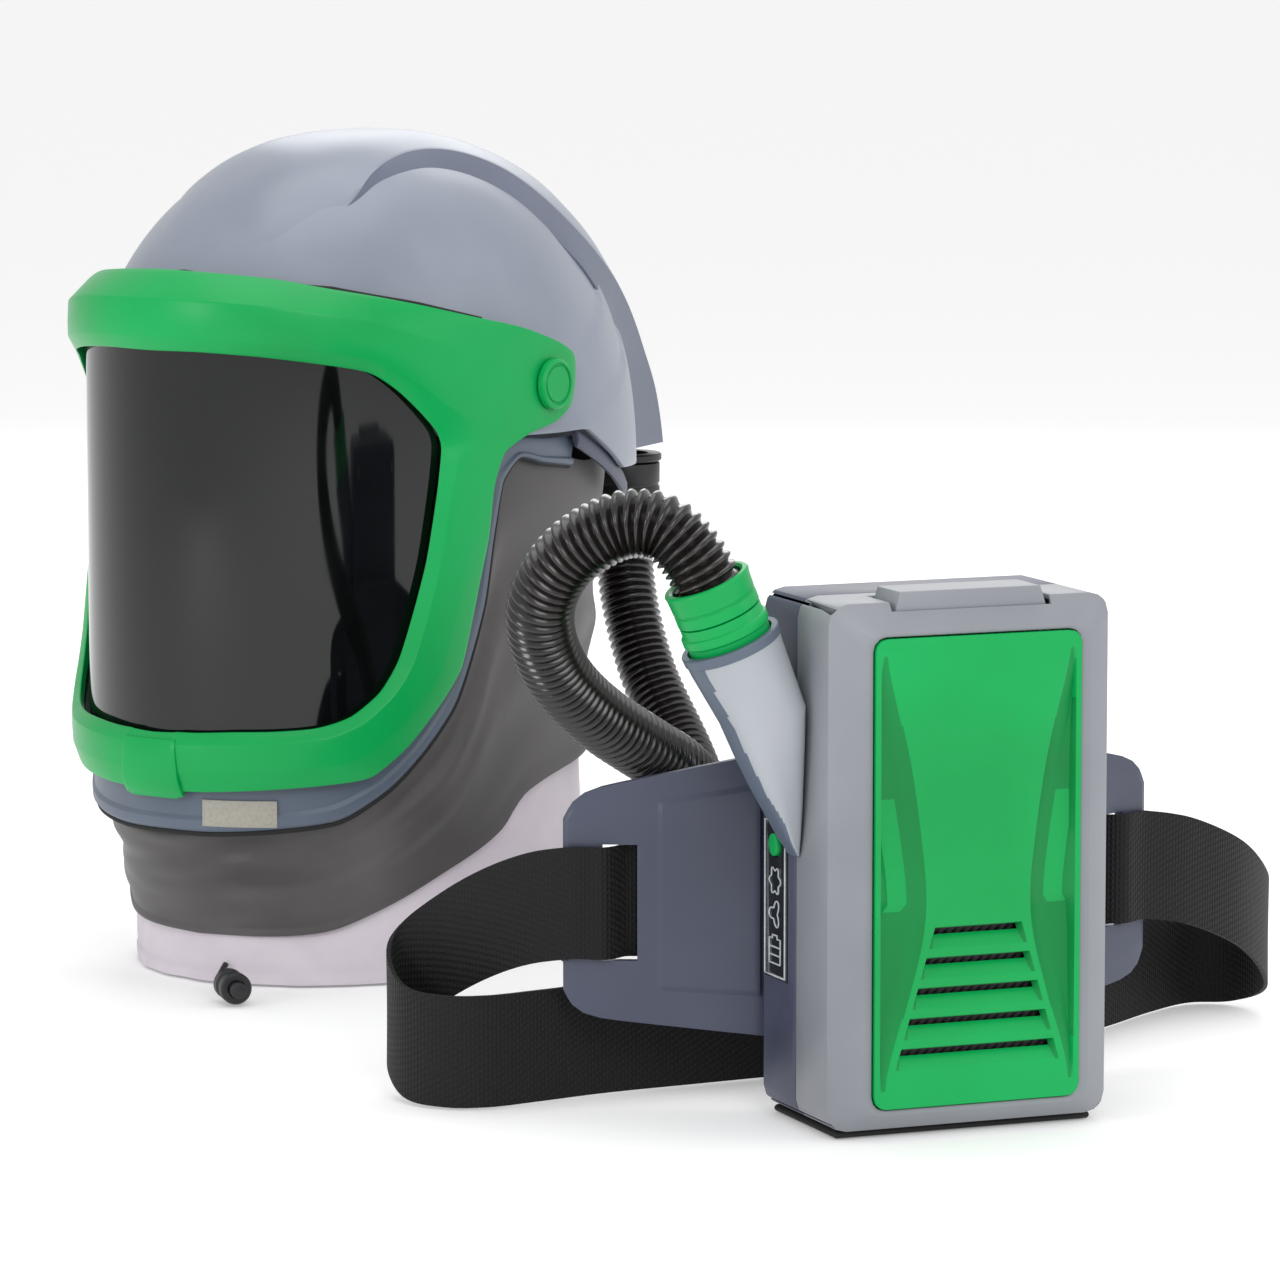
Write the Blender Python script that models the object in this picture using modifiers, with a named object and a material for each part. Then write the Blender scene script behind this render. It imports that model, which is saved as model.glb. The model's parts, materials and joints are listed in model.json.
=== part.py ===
"""Powered air respirator: hard-top helmet with a hinged visor, breathing hose, belt-worn blower unit
and waist belt.  Every separate piece is one object.  Sizes below are in millimetres and are turned to
metres when a mesh is made.  +Z is up, -Y is the front of the blower unit, and the origin is the middle
of the unit's flat base."""
import bpy
import bmesh
import math
from mathutils import Matrix, Vector

for old in list(bpy.data.objects):
    bpy.data.objects.remove(old, do_unlink=True)

MM = 0.001
GAP = 0.3            # gap kept between touching pieces
FIT = 0.6            # clearance of a piece that moves in another

# ---- blower unit -------------------------------------------------------------------------------
UNIT_W = 132.0       # overall width
UNIT_H = 232.0       # overall height, without the latch
BEZEL_D = 33.8       # depth of the front half up to its chamfer
CHAMFER_D = 9.2      # depth of the front chamfer
CHAMFER_W = 12.5     # width of the front chamfer
REAR_D = 39.5        # depth of the rear half
WALL = 2.5           # housing wall
BASE_T = 3.5         # thickness of the base plate
RIM = 17.0           # grey rim round the filter cover
COVER_T = 3.8        # thickness of the filter cover
COVER_OUT = 1.8      # how far the cover stands out of the rim
CORNER_R = 9.0       # corner radius of the housing
LATCH_W = 74.0       # width of the cover latch
LATCH_D = 26.0       # depth of the cover latch
LATCH_H = 4.5        # height of the latch above the housing
BATTERY_H = 42.0     # height of the battery
BATTERY_D = 60.0     # depth of the battery
FILTER_T = 20.0      # thickness of the filter element
PREFILTER_T = 2.0    # thickness of the pre-filter
SEAL_T = 2.0         # thickness of the filter seal
VOLUTE_R = 50.0      # outer radius of the blower volute
IMPELLER_R = 41.0    # radius of the impeller
MOTOR_R = 15.0       # radius of the motor
SHAFT_R = 2.5        # radius of the motor shaft
PANEL_W = 24.0       # depth of the control panel along Y
PANEL_H = 70.0       # height of the control panel
BUTTON_R = 5.0       # radius of the power button
SCREW_R = 3.4        # radius of the housing screw heads
SPOUT_REACH = 31.5   # how far the spout mouth's middle stands out from the unit's side
SPOUT_Z = 215.0      # height of the spout mouth's middle
SPOUT_TILT = 23.0    # tilt of the outlet away from upright, degrees
SPOUT_LOW = 122.0    # height of the spout's lower point

# ---- hose --------------------------------------------------------------------------------------
HOSE_R = 15.0        # outer radius of the breathing hose
CUFF_WALL = 3.0      # wall of the swivel cuff
CUFF_LEN = 16.0      # length of the upper cuff
COLLAR_LEN = 20.0    # length of the locking collar
SOCKET_R = 22.0      # radius of the inlet socket's flange

# ---- belt --------------------------------------------------------------------------------------
STRAP_W = 50.0       # webbing width
STRAP_T = 2.2        # webbing thickness
PLATE_T = 5.0        # belt plate thickness
PLATE_FLAT = 48.0    # half width of the plate's flat middle
PLATE_HALF = 142.0   # half width of the whole plate
PLATE_SWEEP = 38.0   # how far the wings sweep back
SLOT_X = 120.0       # distance of each belt slot from the middle
SLOT_W = 14.0        # width of a belt slot
BUCKLE_W = 55.0      # height of the buckle
BUCKLE_T = 12.0      # thickness of the buckle

# ---- helmet (in its own frame: face towards -Y, wearer's left at +X, origin on the floor) ---------
HELMET_AT = (-95.9, 495.9)
HELMET_TURN = -58.0
CROWN_A = 118.0      # half width of the crown
CROWN_BF = 150.0     # crown reach to the front
CROWN_BR = 175.0     # crown reach to the rear
CROWN_Z0 = 236.0     # height of the crown's widest level
CROWN_RISE = 168.0   # height of the crown above that level
CROWN_N = 2.3        # fullness of the dome
SHELL_T = 3.0        # crown wall
VISOR_OUT = 4.5      # visor surface outside the crown plan
VISOR_T = 3.5        # bezel wall
LENS_T = 2.0         # lens thickness
PIVOT_Y = 7.0        # visor pivot, behind the middle
PIVOT_Z = 290.0      # visor pivot height
PIN_R = 4.5          # pivot pin radius
CAP_R = 12.5         # pivot cap radius
JAW_T = 3.0          # jaw frame wall
FABRIC_T = 2.0       # bib and cape thickness
BAND_A = 80.0        # headband half width
BAND_B = 98.0        # headband half length
BAND_H = 30.0        # headband height
BAND_T = 2.0         # headband thickness
BAND_Z = 288.0       # headband height above the floor
DUCT_W = 44.0        # half width of the rear duct cover
DUCT_T = 2.5         # duct cover wall
SOCKET_AT = (25.0, 200.0)   # hose socket in plan
SOCKET_Z = 236.0     # underside of the hose socket

# ---- collections and finishes ------------------------------------------------------------------
parts = bpy.data.collections.new("Powered air respirator")
cutters = bpy.data.collections.new("Cutters")
bpy.context.scene.collection.children.link(parts)
bpy.context.scene.collection.children.link(cutters)


def finish(name, rgb, rough, metal=0.0):
    """A plain Principled material."""
    mat = bpy.data.materials.new(name)
    mat.use_nodes = True
    shader = mat.node_tree.nodes["Principled BSDF"]
    shader.inputs["Base Color"].default_value = (*[c ** 2.2 for c in rgb], 1.0)
    shader.inputs["Roughness"].default_value = rough
    shader.inputs["Metallic"].default_value = metal
    return mat


SHELL_GREY = (0.62, 0.65, 0.70)
UNIT_GREY = (0.57, 0.58, 0.61)
SLATE = (0.31, 0.33, 0.40)
GREEN = (0.07, 0.68, 0.35)
BLACK = (0.04, 0.04, 0.045)
FABRIC = (0.28, 0.27, 0.29)
LAVENDER = (0.78, 0.75, 0.80)
STEEL = (0.70, 0.70, 0.72)
WHITE = (0.88, 0.88, 0.86)


def empty(name, at, turn=0.0):
    """A frame that pieces are placed in."""
    ob = bpy.data.objects.new(name, None)
    ob.location = Vector(at) * MM
    ob.rotation_euler[2] = math.radians(turn)
    parts.objects.link(ob)
    return ob


helmet = empty("helmet_frame", (*HELMET_AT, 0.0), HELMET_TURN)


def place(name, mesh, rgb, rough=0.5, metal=0.0, at=(0, 0, 0), parent=None, cutter=False):
    """Link a mesh as a named piece, or as a hidden cutter, with its origin at the given point."""
    ob = bpy.data.objects.new(name, mesh)
    mesh.transform(Matrix.Translation(-Vector(at) * MM))
    ob.location = Vector(at) * MM
    ob.parent = parent
    if cutter:
        cutters.objects.link(ob)
        ob.hide_render = True
        ob.display_type = 'WIRE'
    else:
        parts.objects.link(ob)
        mesh.materials.append(finish(name, rgb, rough, metal))
    return ob


def to_mesh(bm, name):
    bmesh.ops.recalc_face_normals(bm, faces=bm.faces)
    mesh = bpy.data.meshes.new(name)
    bm.to_mesh(mesh)
    bm.free()
    return mesh


def box(name, lo, hi, rgb=BLACK, bevel=0.0, **more):
    """A box between two corners, with its edges rounded when a bevel is given."""
    bm = bmesh.new()
    bmesh.ops.create_cube(bm, size=1.0)
    size = Vector(hi) - Vector(lo)
    mid = (Vector(hi) + Vector(lo)) / 2
    bmesh.ops.scale(bm, vec=size * MM, verts=bm.verts)
    bmesh.ops.translate(bm, vec=mid * MM, verts=bm.verts)
    ob = place(name, to_mesh(bm, name), rgb, **{"at": mid, **more})
    if bevel:
        mod = ob.modifiers.new("Rounded edges", 'BEVEL')
        mod.width = bevel * MM
        mod.segments = 2
    return ob


def cylinder(name, p, q, r, rgb=BLACK, sides=24, r2=None, **more):
    """A cylinder or cone from p to q."""
    p, q = Vector(p), Vector(q)
    bm = bmesh.new()
    bmesh.ops.create_cone(bm, cap_ends=True, segments=sides, radius1=r * MM,
                          radius2=(r if r2 is None else r2) * MM, depth=(q - p).length * MM)
    turn = (q - p).to_track_quat('Z', 'Y').to_matrix().to_4x4()
    bmesh.ops.transform(bm, matrix=Matrix.Translation((p + q) / 2 * MM) @ turn, verts=bm.verts)
    return place(name, to_mesh(bm, name), rgb, **{"at": (p + q) / 2, **more})


def turned(name, profile, p, axis, rgb=BLACK, steps=28, **more):
    """A ring turned about an axis through p; the closed profile is (radius, distance along the axis)."""
    mesh = bpy.data.meshes.new(name)
    bm = bmesh.new()
    verts = [bm.verts.new((r * MM, 0.0, h * MM)) for r, h in profile]
    for k, v in enumerate(verts):
        bm.edges.new((v, verts[(k + 1) % len(verts)]))
    bm.to_mesh(mesh)
    bm.free()
    ob = place(name, mesh, rgb, **{**more, "at": (0, 0, 0)})
    ob.location = Vector(p) * MM
    ob.rotation_mode = 'QUATERNION'
    ob.rotation_quaternion = Vector(axis).to_track_quat('Z', 'Y')
    mod = ob.modifiers.new("Turned", 'SCREW')
    mod.steps = mod.render_steps = steps
    mod.use_merge_vertices = True
    mod.merge_threshold = 0.00005
    return ob


def ring(name, r_out, r_in, h0, h1, p, axis, rgb=BLACK, **more):
    """A plain tube; its outer side runs from the top down."""
    return turned(name, [(r_out, h1), (r_out, h0), (r_in, h0), (r_in, h1)], p, axis, rgb, **more)


def skin(name, rows, rgb=BLACK, around=True, capped=False, wall=0.0, core=None, **more):
    """A surface lofted through rows of points: closed around, capped into a solid, or given a wall
    that grows inwards, towards the core point."""
    bm = bmesh.new()
    grid = [[bm.verts.new(Vector(p) * MM) for p in row] for row in rows]
    n = len(rows[0])
    for a, b in zip(grid, grid[1:]):
        for k in range(n if around else n - 1):
            bm.faces.new((a[k], a[(k + 1) % n], b[(k + 1) % n], b[k]))
    if capped:
        bm.faces.new(grid[0])
        bm.faces.new(grid[-1])
    if core is None or capped:
        mesh = to_mesh(bm, name)
    else:
        bm.normal_update()
        middle = Vector(core) * MM
        side = sum(f.normal.dot(f.calc_center_median() - middle) * f.calc_area() for f in bm.faces)
        if side < 0:
            bmesh.ops.reverse_faces(bm, faces=bm.faces)
        mesh = bpy.data.meshes.new(name)
        bm.to_mesh(mesh)
        bm.free()
    ob = place(name, mesh, rgb, **more)
    if wall:
        mod = ob.modifiers.new("Wall", 'SOLIDIFY')
        mod.thickness = wall * MM
        mod.offset = -1.0
        mod.use_even_offset = False
    return ob


def cut(ob, *tools):
    """Take the cutters' space out of a piece."""
    for tool in tools:
        mod = ob.modifiers.new("Cut", 'BOOLEAN')
        mod.operation = 'DIFFERENCE'
        mod.solver = 'EXACT'
        mod.object = tool


def tube(name, points, r, rgb=BLACK, resolution=2, **more):
    """A round cord or hose: a poly curve with a bevel and filled caps."""
    curve = bpy.data.curves.new(name, 'CURVE')
    curve.dimensions = '3D'
    curve.bevel_depth = r * MM
    curve.bevel_resolution = resolution
    curve.use_fill_caps = True
    spline = curve.splines.new('POLY')
    spline.points.add(len(points) - 1)
    for point, p in zip(spline.points, points):
        point.co = (*(Vector(p) * MM), 1.0)
    ob = bpy.data.objects.new(name, curve)
    ob.parent = more.get("parent")
    parts.objects.link(ob)
    curve.materials.append(finish(name, rgb, more.get("rough", 0.5)))
    return ob


def smooth(points, step):
    """Points about `step` apart on one smooth curve through the given points."""
    pts = [Vector(p) for p in points]
    pts = [pts[0] * 2 - pts[1], *pts, pts[-1] * 2 - pts[-2]]
    fine = []
    for a, b, c, d in zip(pts, pts[1:], pts[2:], pts[3:]):
        for k in range(20):
            t = k / 20
            fine.append(0.5 * ((2 * b) + (c - a) * t + (2 * a - 5 * b + 4 * c - d) * t * t
                               + (3 * b - a - 3 * c + d) * t ** 3))
    fine.append(pts[-2])
    run = [0.0]
    for p, q in zip(fine, fine[1:]):
        run.append(run[-1] + (q - p).length)
    count = max(2, round(run[-1] / step))
    out, k = [], 0
    for i in range(count + 1):
        s = run[-1] * i / count
        while k < len(run) - 2 and run[k + 1] < s:
            k += 1
        t = (s - run[k]) / max(run[k + 1] - run[k], 1e-9)
        out.append(fine[k].lerp(fine[k + 1], min(max(t, 0.0), 1.0)))
    return out


def rounded(x0, x1, z0, z1, y, r, n=3):
    """A rounded rectangle at depth y, seen from the front."""
    out = []
    for cx, cz, start in ((x1 - r, z1 - r, 0), (x0 + r, z1 - r, 90), (x0 + r, z0 + r, 180), (x1 - r, z0 + r, 270)):
        for k in range(n + 1):
            a = math.radians(start + 90 * k / n)
            out.append((cx + r * math.cos(a), y, cz + r * math.sin(a)))
    return out


def level(table, value):
    """Straight-line reading of a short table of (value, result)."""
    if value <= table[0][0]:
        return table[0][1]
    for (a, fa), (b, fb) in zip(table, table[1:]):
        if value <= b:
            return fa + (fb - fa) * (value - a) / (b - a)
    return table[-1][1]


# =================================================================================================
# BLOWER UNIT
# =================================================================================================
HALF = UNIT_W / 2
FRONT = -(BEZEL_D + CHAMFER_D)
IN = HALF - WALL
BAY_X = HALF - RIM                      # half width of the filter opening
BAY_Z0 = BASE_T + 10.0
BAY_Z1 = UNIT_H - RIM + 3.0

# front half of the housing: chamfered shell with the filter opening
bezel = skin("front_bezel",
             [rounded(-HALF, HALF, BASE_T, UNIT_H, 0.0, CORNER_R),
              rounded(-HALF, HALF, BASE_T, UNIT_H, -BEZEL_D, CORNER_R),
              rounded(-HALF + CHAMFER_W, HALF - CHAMFER_W, BASE_T + CHAMFER_W * 0.6, UNIT_H - CHAMFER_W,
                      FRONT, CORNER_R)],
             UNIT_GREY, capped=True, rough=0.45)
inner_front = box("cut_front_space", (-IN, -BEZEL_D + 0.5, BASE_T + WALL), (IN, 5.0, UNIT_H - WALL), cutter=True)
opening = skin("cut_filter_opening",
               [rounded(-BAY_X, BAY_X, BAY_Z0, BAY_Z1, FRONT - 5.0, 6.0),
                rounded(-BAY_X, BAY_X, BAY_Z0, BAY_Z1, -BEZEL_D + 5.0, 6.0)], capped=True, cutter=True)

# rear half
rear = skin("rear_housing",
            [rounded(-HALF, HALF, BASE_T, UNIT_H, GAP, CORNER_R),
             rounded(-HALF, HALF, BASE_T, UNIT_H, REAR_D - 4.0, CORNER_R),
             rounded(-HALF + 3.0, HALF - 3.0, BASE_T + 3.0, UNIT_H - 3.0, REAR_D, CORNER_R)],
            SLATE, capped=True, rough=0.5)
inner_rear = box("cut_rear_space", (-IN, -5.0, BASE_T + WALL), (IN, REAR_D - WALL, UNIT_H - WALL), cutter=True)
cut(rear, inner_rear)
cut(bezel, inner_front, opening)

# flat base that the unit stands on
base_plate = box("base_plate", (-HALF + 5.0, -BEZEL_D + 3.0, 0.0), (HALF - 5.0, REAR_D - 3.0, BASE_T - GAP),
                 BLACK, bevel=1.5, at=(0, 0, 0), rough=0.6)

# battery, slid in from the right side, with its end cap flush in the side wall
BAT_Z0 = BASE_T + WALL + 1.0
BAT_Z1 = BAT_Z0 + BATTERY_H
BAT_Y0 = -BATTERY_D / 2 + 3.0
BAT_Y1 = BAT_Y0 + BATTERY_D
battery = box("battery_pack", (-IN + 6.0, BAT_Y0, BAT_Z0), (HALF - 0.2, BAT_Y1, BAT_Z1), BLACK, bevel=2.0, rough=0.55)
battery_way = box("cut_battery_way", (IN - 4.0, BAT_Y0 - FIT, BAT_Z0 - FIT), (HALF + 5.0, BAT_Y1 + FIT, BAT_Z1 + FIT),
                  cutter=True)
cut(bezel, battery_way)
cut(rear, battery_way)
LATCH_Y = BAT_Y0 + BATTERY_D / 2
battery_latch = box("battery_latch", (HALF - 5.0, LATCH_Y - 8.0, BAT_Z1 - 15.0), (HALF + 2.0, LATCH_Y + 8.0, BAT_Z1 - 5.0),
                    GREEN, bevel=0.8, at=(HALF, LATCH_Y, BAT_Z1 - 10.0))
cut(battery, box("cut_latch_pocket", (HALF - 9.5, LATCH_Y - 8.5, BAT_Z1 - 15.5), (HALF + 5.0, LATCH_Y + 8.5, BAT_Z1 - 4.5),
                 cutter=True))

# filter bay: pre-filter, filter, its seal, and the wall that carries them
BAY_TOP = UNIT_H - WALL - 4.0
FILTER_Z0 = BAT_Z1 + 8.0
PRE_Y = -BEZEL_D + 0.5 + GAP
pre_filter = box("pre_filter", (-IN + 9.0, PRE_Y, FILTER_Z0 + 1.0), (IN - 9.0, PRE_Y + PREFILTER_T, BAY_TOP - 12.0), WHITE,
                 rough=0.9)
FIL_Y = PRE_Y + PREFILTER_T + GAP
filter_element = box("filter_element", (-IN + 8.0, FIL_Y, FILTER_Z0), (IN - 8.0, FIL_Y + FILTER_T, BAY_TOP - 11.0), WHITE,
                     bevel=1.5, rough=0.8)
SEAL_Y = FIL_Y + FILTER_T + GAP
SEAL_MID = (FILTER_Z0 + BAY_TOP - 11.0) / 2
filter_seal = box("filter_seal", (-IN + 9.0, SEAL_Y, FILTER_Z0 + 1.0), (IN - 9.0, SEAL_Y + SEAL_T, BAY_TOP - 12.0), BLACK,
                  rough=0.8)
cut(filter_seal, box("cut_seal_window", (-IN + 15.0, SEAL_Y - 3.0, FILTER_Z0 + 7.0),
                     (IN - 15.0, SEAL_Y + SEAL_T + 3.0, BAY_TOP - 18.0), cutter=True))
BAYW_Y = SEAL_Y + SEAL_T + GAP
BLOW_Z = min(FILTER_Z0 + VOLUTE_R + 6.0, BAY_TOP - VOLUTE_R) + (BAY_TOP - FILTER_Z0 - 2 * VOLUTE_R - 6.0) / 2
bay_wall = box("filter_bay_wall", (-IN + GAP, BAYW_Y, BAT_Z1 + 2.0), (IN - GAP, BAYW_Y + 2.0, UNIT_H - WALL - GAP),
               SLATE)
cut(bay_wall, cylinder("cut_air_eye", (0, BAYW_Y - 5, BLOW_Z), (0, BAYW_Y + 8, BLOW_Z), VOLUTE_R * 0.5, sides=20, cutter=True))

# blower: volute drum, impeller, motor and shaft on one axis along Y
VOL_Y0 = BAYW_Y + 2.0 + GAP
MOTOR_Y1 = REAR_D - WALL - GAP
MOTOR_LEN = 13.0
VOL_Y1 = MOTOR_Y1 - MOTOR_LEN - GAP
volute = turned("blower_volute",
                [(VOLUTE_R, VOL_Y1), (VOLUTE_R, VOL_Y0), (VOLUTE_R - 2.2, VOL_Y0), (VOLUTE_R - 2.2, VOL_Y1 - 2.2),
                 (SHAFT_R + 1.5, VOL_Y1 - 2.2), (SHAFT_R + 1.5, VOL_Y1)],
                (0, 0, BLOW_Z), (0, 1, 0), SLATE)
EYE_Z = BLOW_Z + VOLUTE_R * 0.55
cut(volute, box("cut_volute_outlet", (-VOLUTE_R - 8.0, VOL_Y0 + 4.0, EYE_Z - 10.0), (-VOLUTE_R * 0.45, VOL_Y1 - 5.0, EYE_Z + 10.0),
                cutter=True))


def blade_outline(r_out, r_in, count):
    """A wheel of swept blades, seen along its axis."""
    out = []
    for k in range(count):
        a = 2 * math.pi * k / count
        for r, da in ((r_in, 0.0), (r_out, 0.30), (r_out, 0.42), (r_in, 0.20)):
            out.append((r * math.cos(a + da), r * math.sin(a + da)))
    return out


IMP_Y0, IMP_Y1 = VOL_Y0 + 4.0, VOL_Y1 - 2.2 - 3.0
wheel = blade_outline(IMPELLER_R, IMPELLER_R - 15.0, 13)
impeller = skin("impeller", [[(x, IMP_Y0, BLOW_Z + z) for x, z in wheel], [(x, IMP_Y1, BLOW_Z + z) for x, z in wheel]],
                GREEN, capped=True, at=(0, (IMP_Y0 + IMP_Y1) / 2, BLOW_Z))
cut(impeller, cylinder("cut_impeller_bore", (0, IMP_Y0 - 5, BLOW_Z), (0, IMP_Y1 + 5, BLOW_Z), SHAFT_R + GAP, sides=16,
                       cutter=True))
motor = cylinder("motor", (0, VOL_Y1 + GAP, BLOW_Z), (0, MOTOR_Y1, BLOW_Z), MOTOR_R, STEEL, metal=0.9, rough=0.35)
motor_shaft = cylinder("motor_shaft", (0, IMP_Y0 - 2.0, BLOW_Z), (0, VOL_Y1 - 0.1, BLOW_Z), SHAFT_R, STEEL, sides=16,
                       metal=0.9, rough=0.3)

# controls on the left side
PAN_Y1 = REAR_D - 6.0
PAN_Y0 = PAN_Y1 - PANEL_W
PAN_Z0 = 62.0
PAN_Z1 = PAN_Z0 + PANEL_H
BUT_Y, BUT_Z = (PAN_Y0 + PAN_Y1) / 2, PAN_Z1 - 11.0
panel = box("control_panel", (-HALF - 0.6, PAN_Y0, PAN_Z0), (-HALF + 1.6, PAN_Y1, PAN_Z1), BLACK, bevel=0.4, rough=0.3)
button_way = cylinder("cut_button_way", (-HALF - 6, BUT_Y, BUT_Z), (-HALF + 8, BUT_Y, BUT_Z), BUTTON_R + FIT, cutter=True)
cut(panel, button_way)
cut(rear, box("cut_panel_recess", (-HALF - 5.0, PAN_Y0 - GAP, PAN_Z0 - GAP), (-HALF + 1.6 + GAP, PAN_Y1 + GAP, PAN_Z1 + GAP),
              cutter=True), button_way)
power_button = cylinder("power_button", (-HALF - 2.0, BUT_Y, BUT_Z), (-HALF + 4.2, BUT_Y, BUT_Z), BUTTON_R, GREEN,
                        at=(-HALF, BUT_Y, BUT_Z))
circuit_board = box("circuit_board", (-HALF + 7.0, PAN_Y0, PAN_Z0), (-HALF + 8.6, PAN_Y1 - 1.0, PAN_Z1), GREEN)

# filter cover, hinged along its lower edge, with louvres at the bottom
COV_Y0, COV_Y1 = FRONT - COVER_OUT, FRONT - COVER_OUT + COVER_T
CW = BAY_X - FIT
CZ0, CZ1 = BAY_Z0 + FIT, BAY_Z1 - FIT
cover = skin("filter_cover",
             [rounded(-CW, CW, CZ0, CZ1, COV_Y1, 5.5), rounded(-CW, CW, CZ0, CZ1, COV_Y0 + 0.6, 5.5),
              rounded(-CW + 0.6, CW - 0.6, CZ0 + 0.6, CZ1 - 0.6, COV_Y0, 5.0)],
             GREEN, capped=True, rough=0.4, at=(0, COV_Y0, CZ0))
WAIST_Z = CZ0 + 88.0
for side in (-1, 1):
    # the sunk pocket beside the waisted middle panel
    pocket = skin(f"cut_pocket_{side}",
                  [[(side * (CW - 3.0), y, CZ0 + 42.0), (side * (CW - 3.0), y, CZ1 - 16.0), (side * (CW - 9.0), y, CZ1 - 16.0),
                    (side * (CW - 17.0), y, WAIST_Z), (side * (CW - 8.0), y, CZ0 + 42.0)] for y in (COV_Y0 - 3.0, COV_Y0 + 1.4)],
                  capped=True, cutter=True)
    cut(cover, pocket)
for k in range(5):
    # louvre openings, wider towards the bottom
    w, z = 24.0 + 4.5 * k, CZ0 + 76.0 - 13.0 * k
    cut(cover, box(f"cut_louvre_{k}", (-w + 2.0, COV_Y0 - 5.0, z), (w - 2.0, COV_Y1 + 5.0, z + 4.5), cutter=True))

# latch hump on top, pressed down to free the cover
LAT_Y0 = -BEZEL_D - 2.0
latch = box("cover_latch", (-LATCH_W / 2, LAT_Y0, UNIT_H - 9.0), (LATCH_W / 2, LAT_Y0 + LATCH_D, UNIT_H + LATCH_H),
            UNIT_GREY, bevel=1.5)
cut(bezel, box("cut_latch_way", (-LATCH_W / 2 - FIT, LAT_Y0 - FIT, UNIT_H - 12.0),
               (LATCH_W / 2 + FIT, LAT_Y0 + LATCH_D + FIT, UNIT_H + 9.0), cutter=True))

# screws through the rear half
for k, (sx, z) in enumerate(((-1, BASE_T + 14.0), (1, BASE_T + 14.0), (-1, UNIT_H - 14.0), (1, UNIT_H - 14.0))):
    x = sx * (HALF - 13.0)
    cylinder(f"housing_screw_{k + 1}", (x, REAR_D + GAP, z), (x, REAR_D + 2.4, z), SCREW_R, STEEL, sides=12, metal=0.9)

# outlet spout: a tapered duct on the left side that ends in a round tilted mouth
TILT = math.radians(SPOUT_TILT)
AXIS = Vector((-math.sin(TILT), 0.0, math.cos(TILT)))
MOUTH = Vector((-HALF - SPOUT_REACH, 0.0, SPOUT_Z))
BORE_R = HOSE_R + GAP + CUFF_WALL + FIT
MOUTH_R = BORE_R + 2.8
ACROSS = Vector((math.cos(TILT), 0.0, math.sin(TILT)))
BROAD = MOUTH_R / 21.7                   # the duct below the mouth widens with the mouth


def mouth_ring(back, r, n=20):
    out = []
    for k in range(n):
        a = 2 * math.pi * k / n
        out.append(MOUTH - AXIS * back + ACROSS * (r * math.cos(a)) + Vector((0, r * math.sin(a), 0)))
    return out


def side_ring(z, reach, depth, n=20):
    """A level section against the unit's side: an oval that is cut flat by the side."""
    out = []
    for k in range(n):
        a = 2 * math.pi * k / n
        x = -HALF - GAP - reach * 0.5 + reach * 0.5 * math.cos(a)
        out.append(Vector((min(x, -HALF - GAP), depth * math.sin(a), z + 6.0 * math.cos(a))))
    return out


spout = skin("outlet_spout",
             [side_ring(SPOUT_LOW, 3.0, 5.0), side_ring(SPOUT_LOW + 34.0, 20.0 * BROAD, 15.0 * BROAD),
              side_ring(SPOUT_LOW + 62.0, 35.0 * BROAD, 20.0 * BROAD), mouth_ring(9.0, MOUTH_R - 0.5), mouth_ring(0.0, MOUTH_R)],
             UNIT_GREY, capped=True, rough=0.45)
cut(spout, cylinder("cut_spout_bore", MOUTH - AXIS * 26.0, MOUTH + AXIS * 20.0, BORE_R, sides=24, cutter=True),
    box("cut_spout_side", (-HALF - 0.3, -60.0, SPOUT_LOW - 30.0), (-HALF + 60.0, 60.0, UNIT_H + 60.0), cutter=True))
cut(spout, box("cut_spout_way", (-HALF - 22.0, -8.0, SPOUT_LOW + 50.0), (-HALF + 2.0, 8.0, SPOUT_LOW + 66.0), cutter=True))

# =================================================================================================
# HOSE
# =================================================================================================
HOSE_END = 6.0                           # where the hose ends inside the cuff, above the mouth
collar = ring("lock_collar", BORE_R - FIT, HOSE_R - 1.5, -8.0, COLLAR_LEN - 8.0, MOUTH, AXIS, GREEN, rough=0.4)
CUFF0 = COLLAR_LEN - 8.0 + GAP
cuff = ring("hose_cuff", BORE_R - FIT, HOSE_R + GAP + 0.2, CUFF0, CUFF0 + CUFF_LEN, MOUTH, AXIS, GREEN, rough=0.4)

turn = math.radians(HELMET_TURN)


def from_helmet(x, y, z):
    return (HELMET_AT[0] + math.cos(turn) * x - math.sin(turn) * y,
            HELMET_AT[1] + math.sin(turn) * x + math.cos(turn) * y, z)


HOSE_START = CUFF0 + 1.0
start = MOUTH + AXIS * HOSE_START
route = [start, start + AXIS * 16.0, (-119, 4, 258), (-128.5, 10, 264.5), (-140, 18, 264), (-151.5, 27, 257),
         (-160.5, 37, 246), (-164.5, 49, 229), (-159, 62, 210), (-145, 75, 190), (-124, 87, 172),
         (-99, 98, 156), (-74, 112, 141), (-54, 132, 121), (-40, 162, 88), (-28, 202, 50), (-12, 248, 24),
         (14, 300, 16), (48, 360, 15.6), (76, 418, 24), (92, 468, 48), (94, 512, 84), (86, 545, 124),
         (83, 566, 165), from_helmet(*SOCKET_AT, 200.0), from_helmet(*SOCKET_AT, 217.0)]
# the loop moves with the mouth, and less and less towards the floor
shift = MOUTH - Vector((-97.5, 0.0, 215.0))
route = route[:2] + [Vector(p) + shift * max(0.0, 1.0 - k / 12.0) for k, p in enumerate(route[2:])]
hose = tube("breathing_hose", smooth(route, 15.0), HOSE_R, BLACK, rough=0.3)

# =================================================================================================
# BELT
# =================================================================================================
PLATE_Y = REAR_D + 4.0


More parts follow.
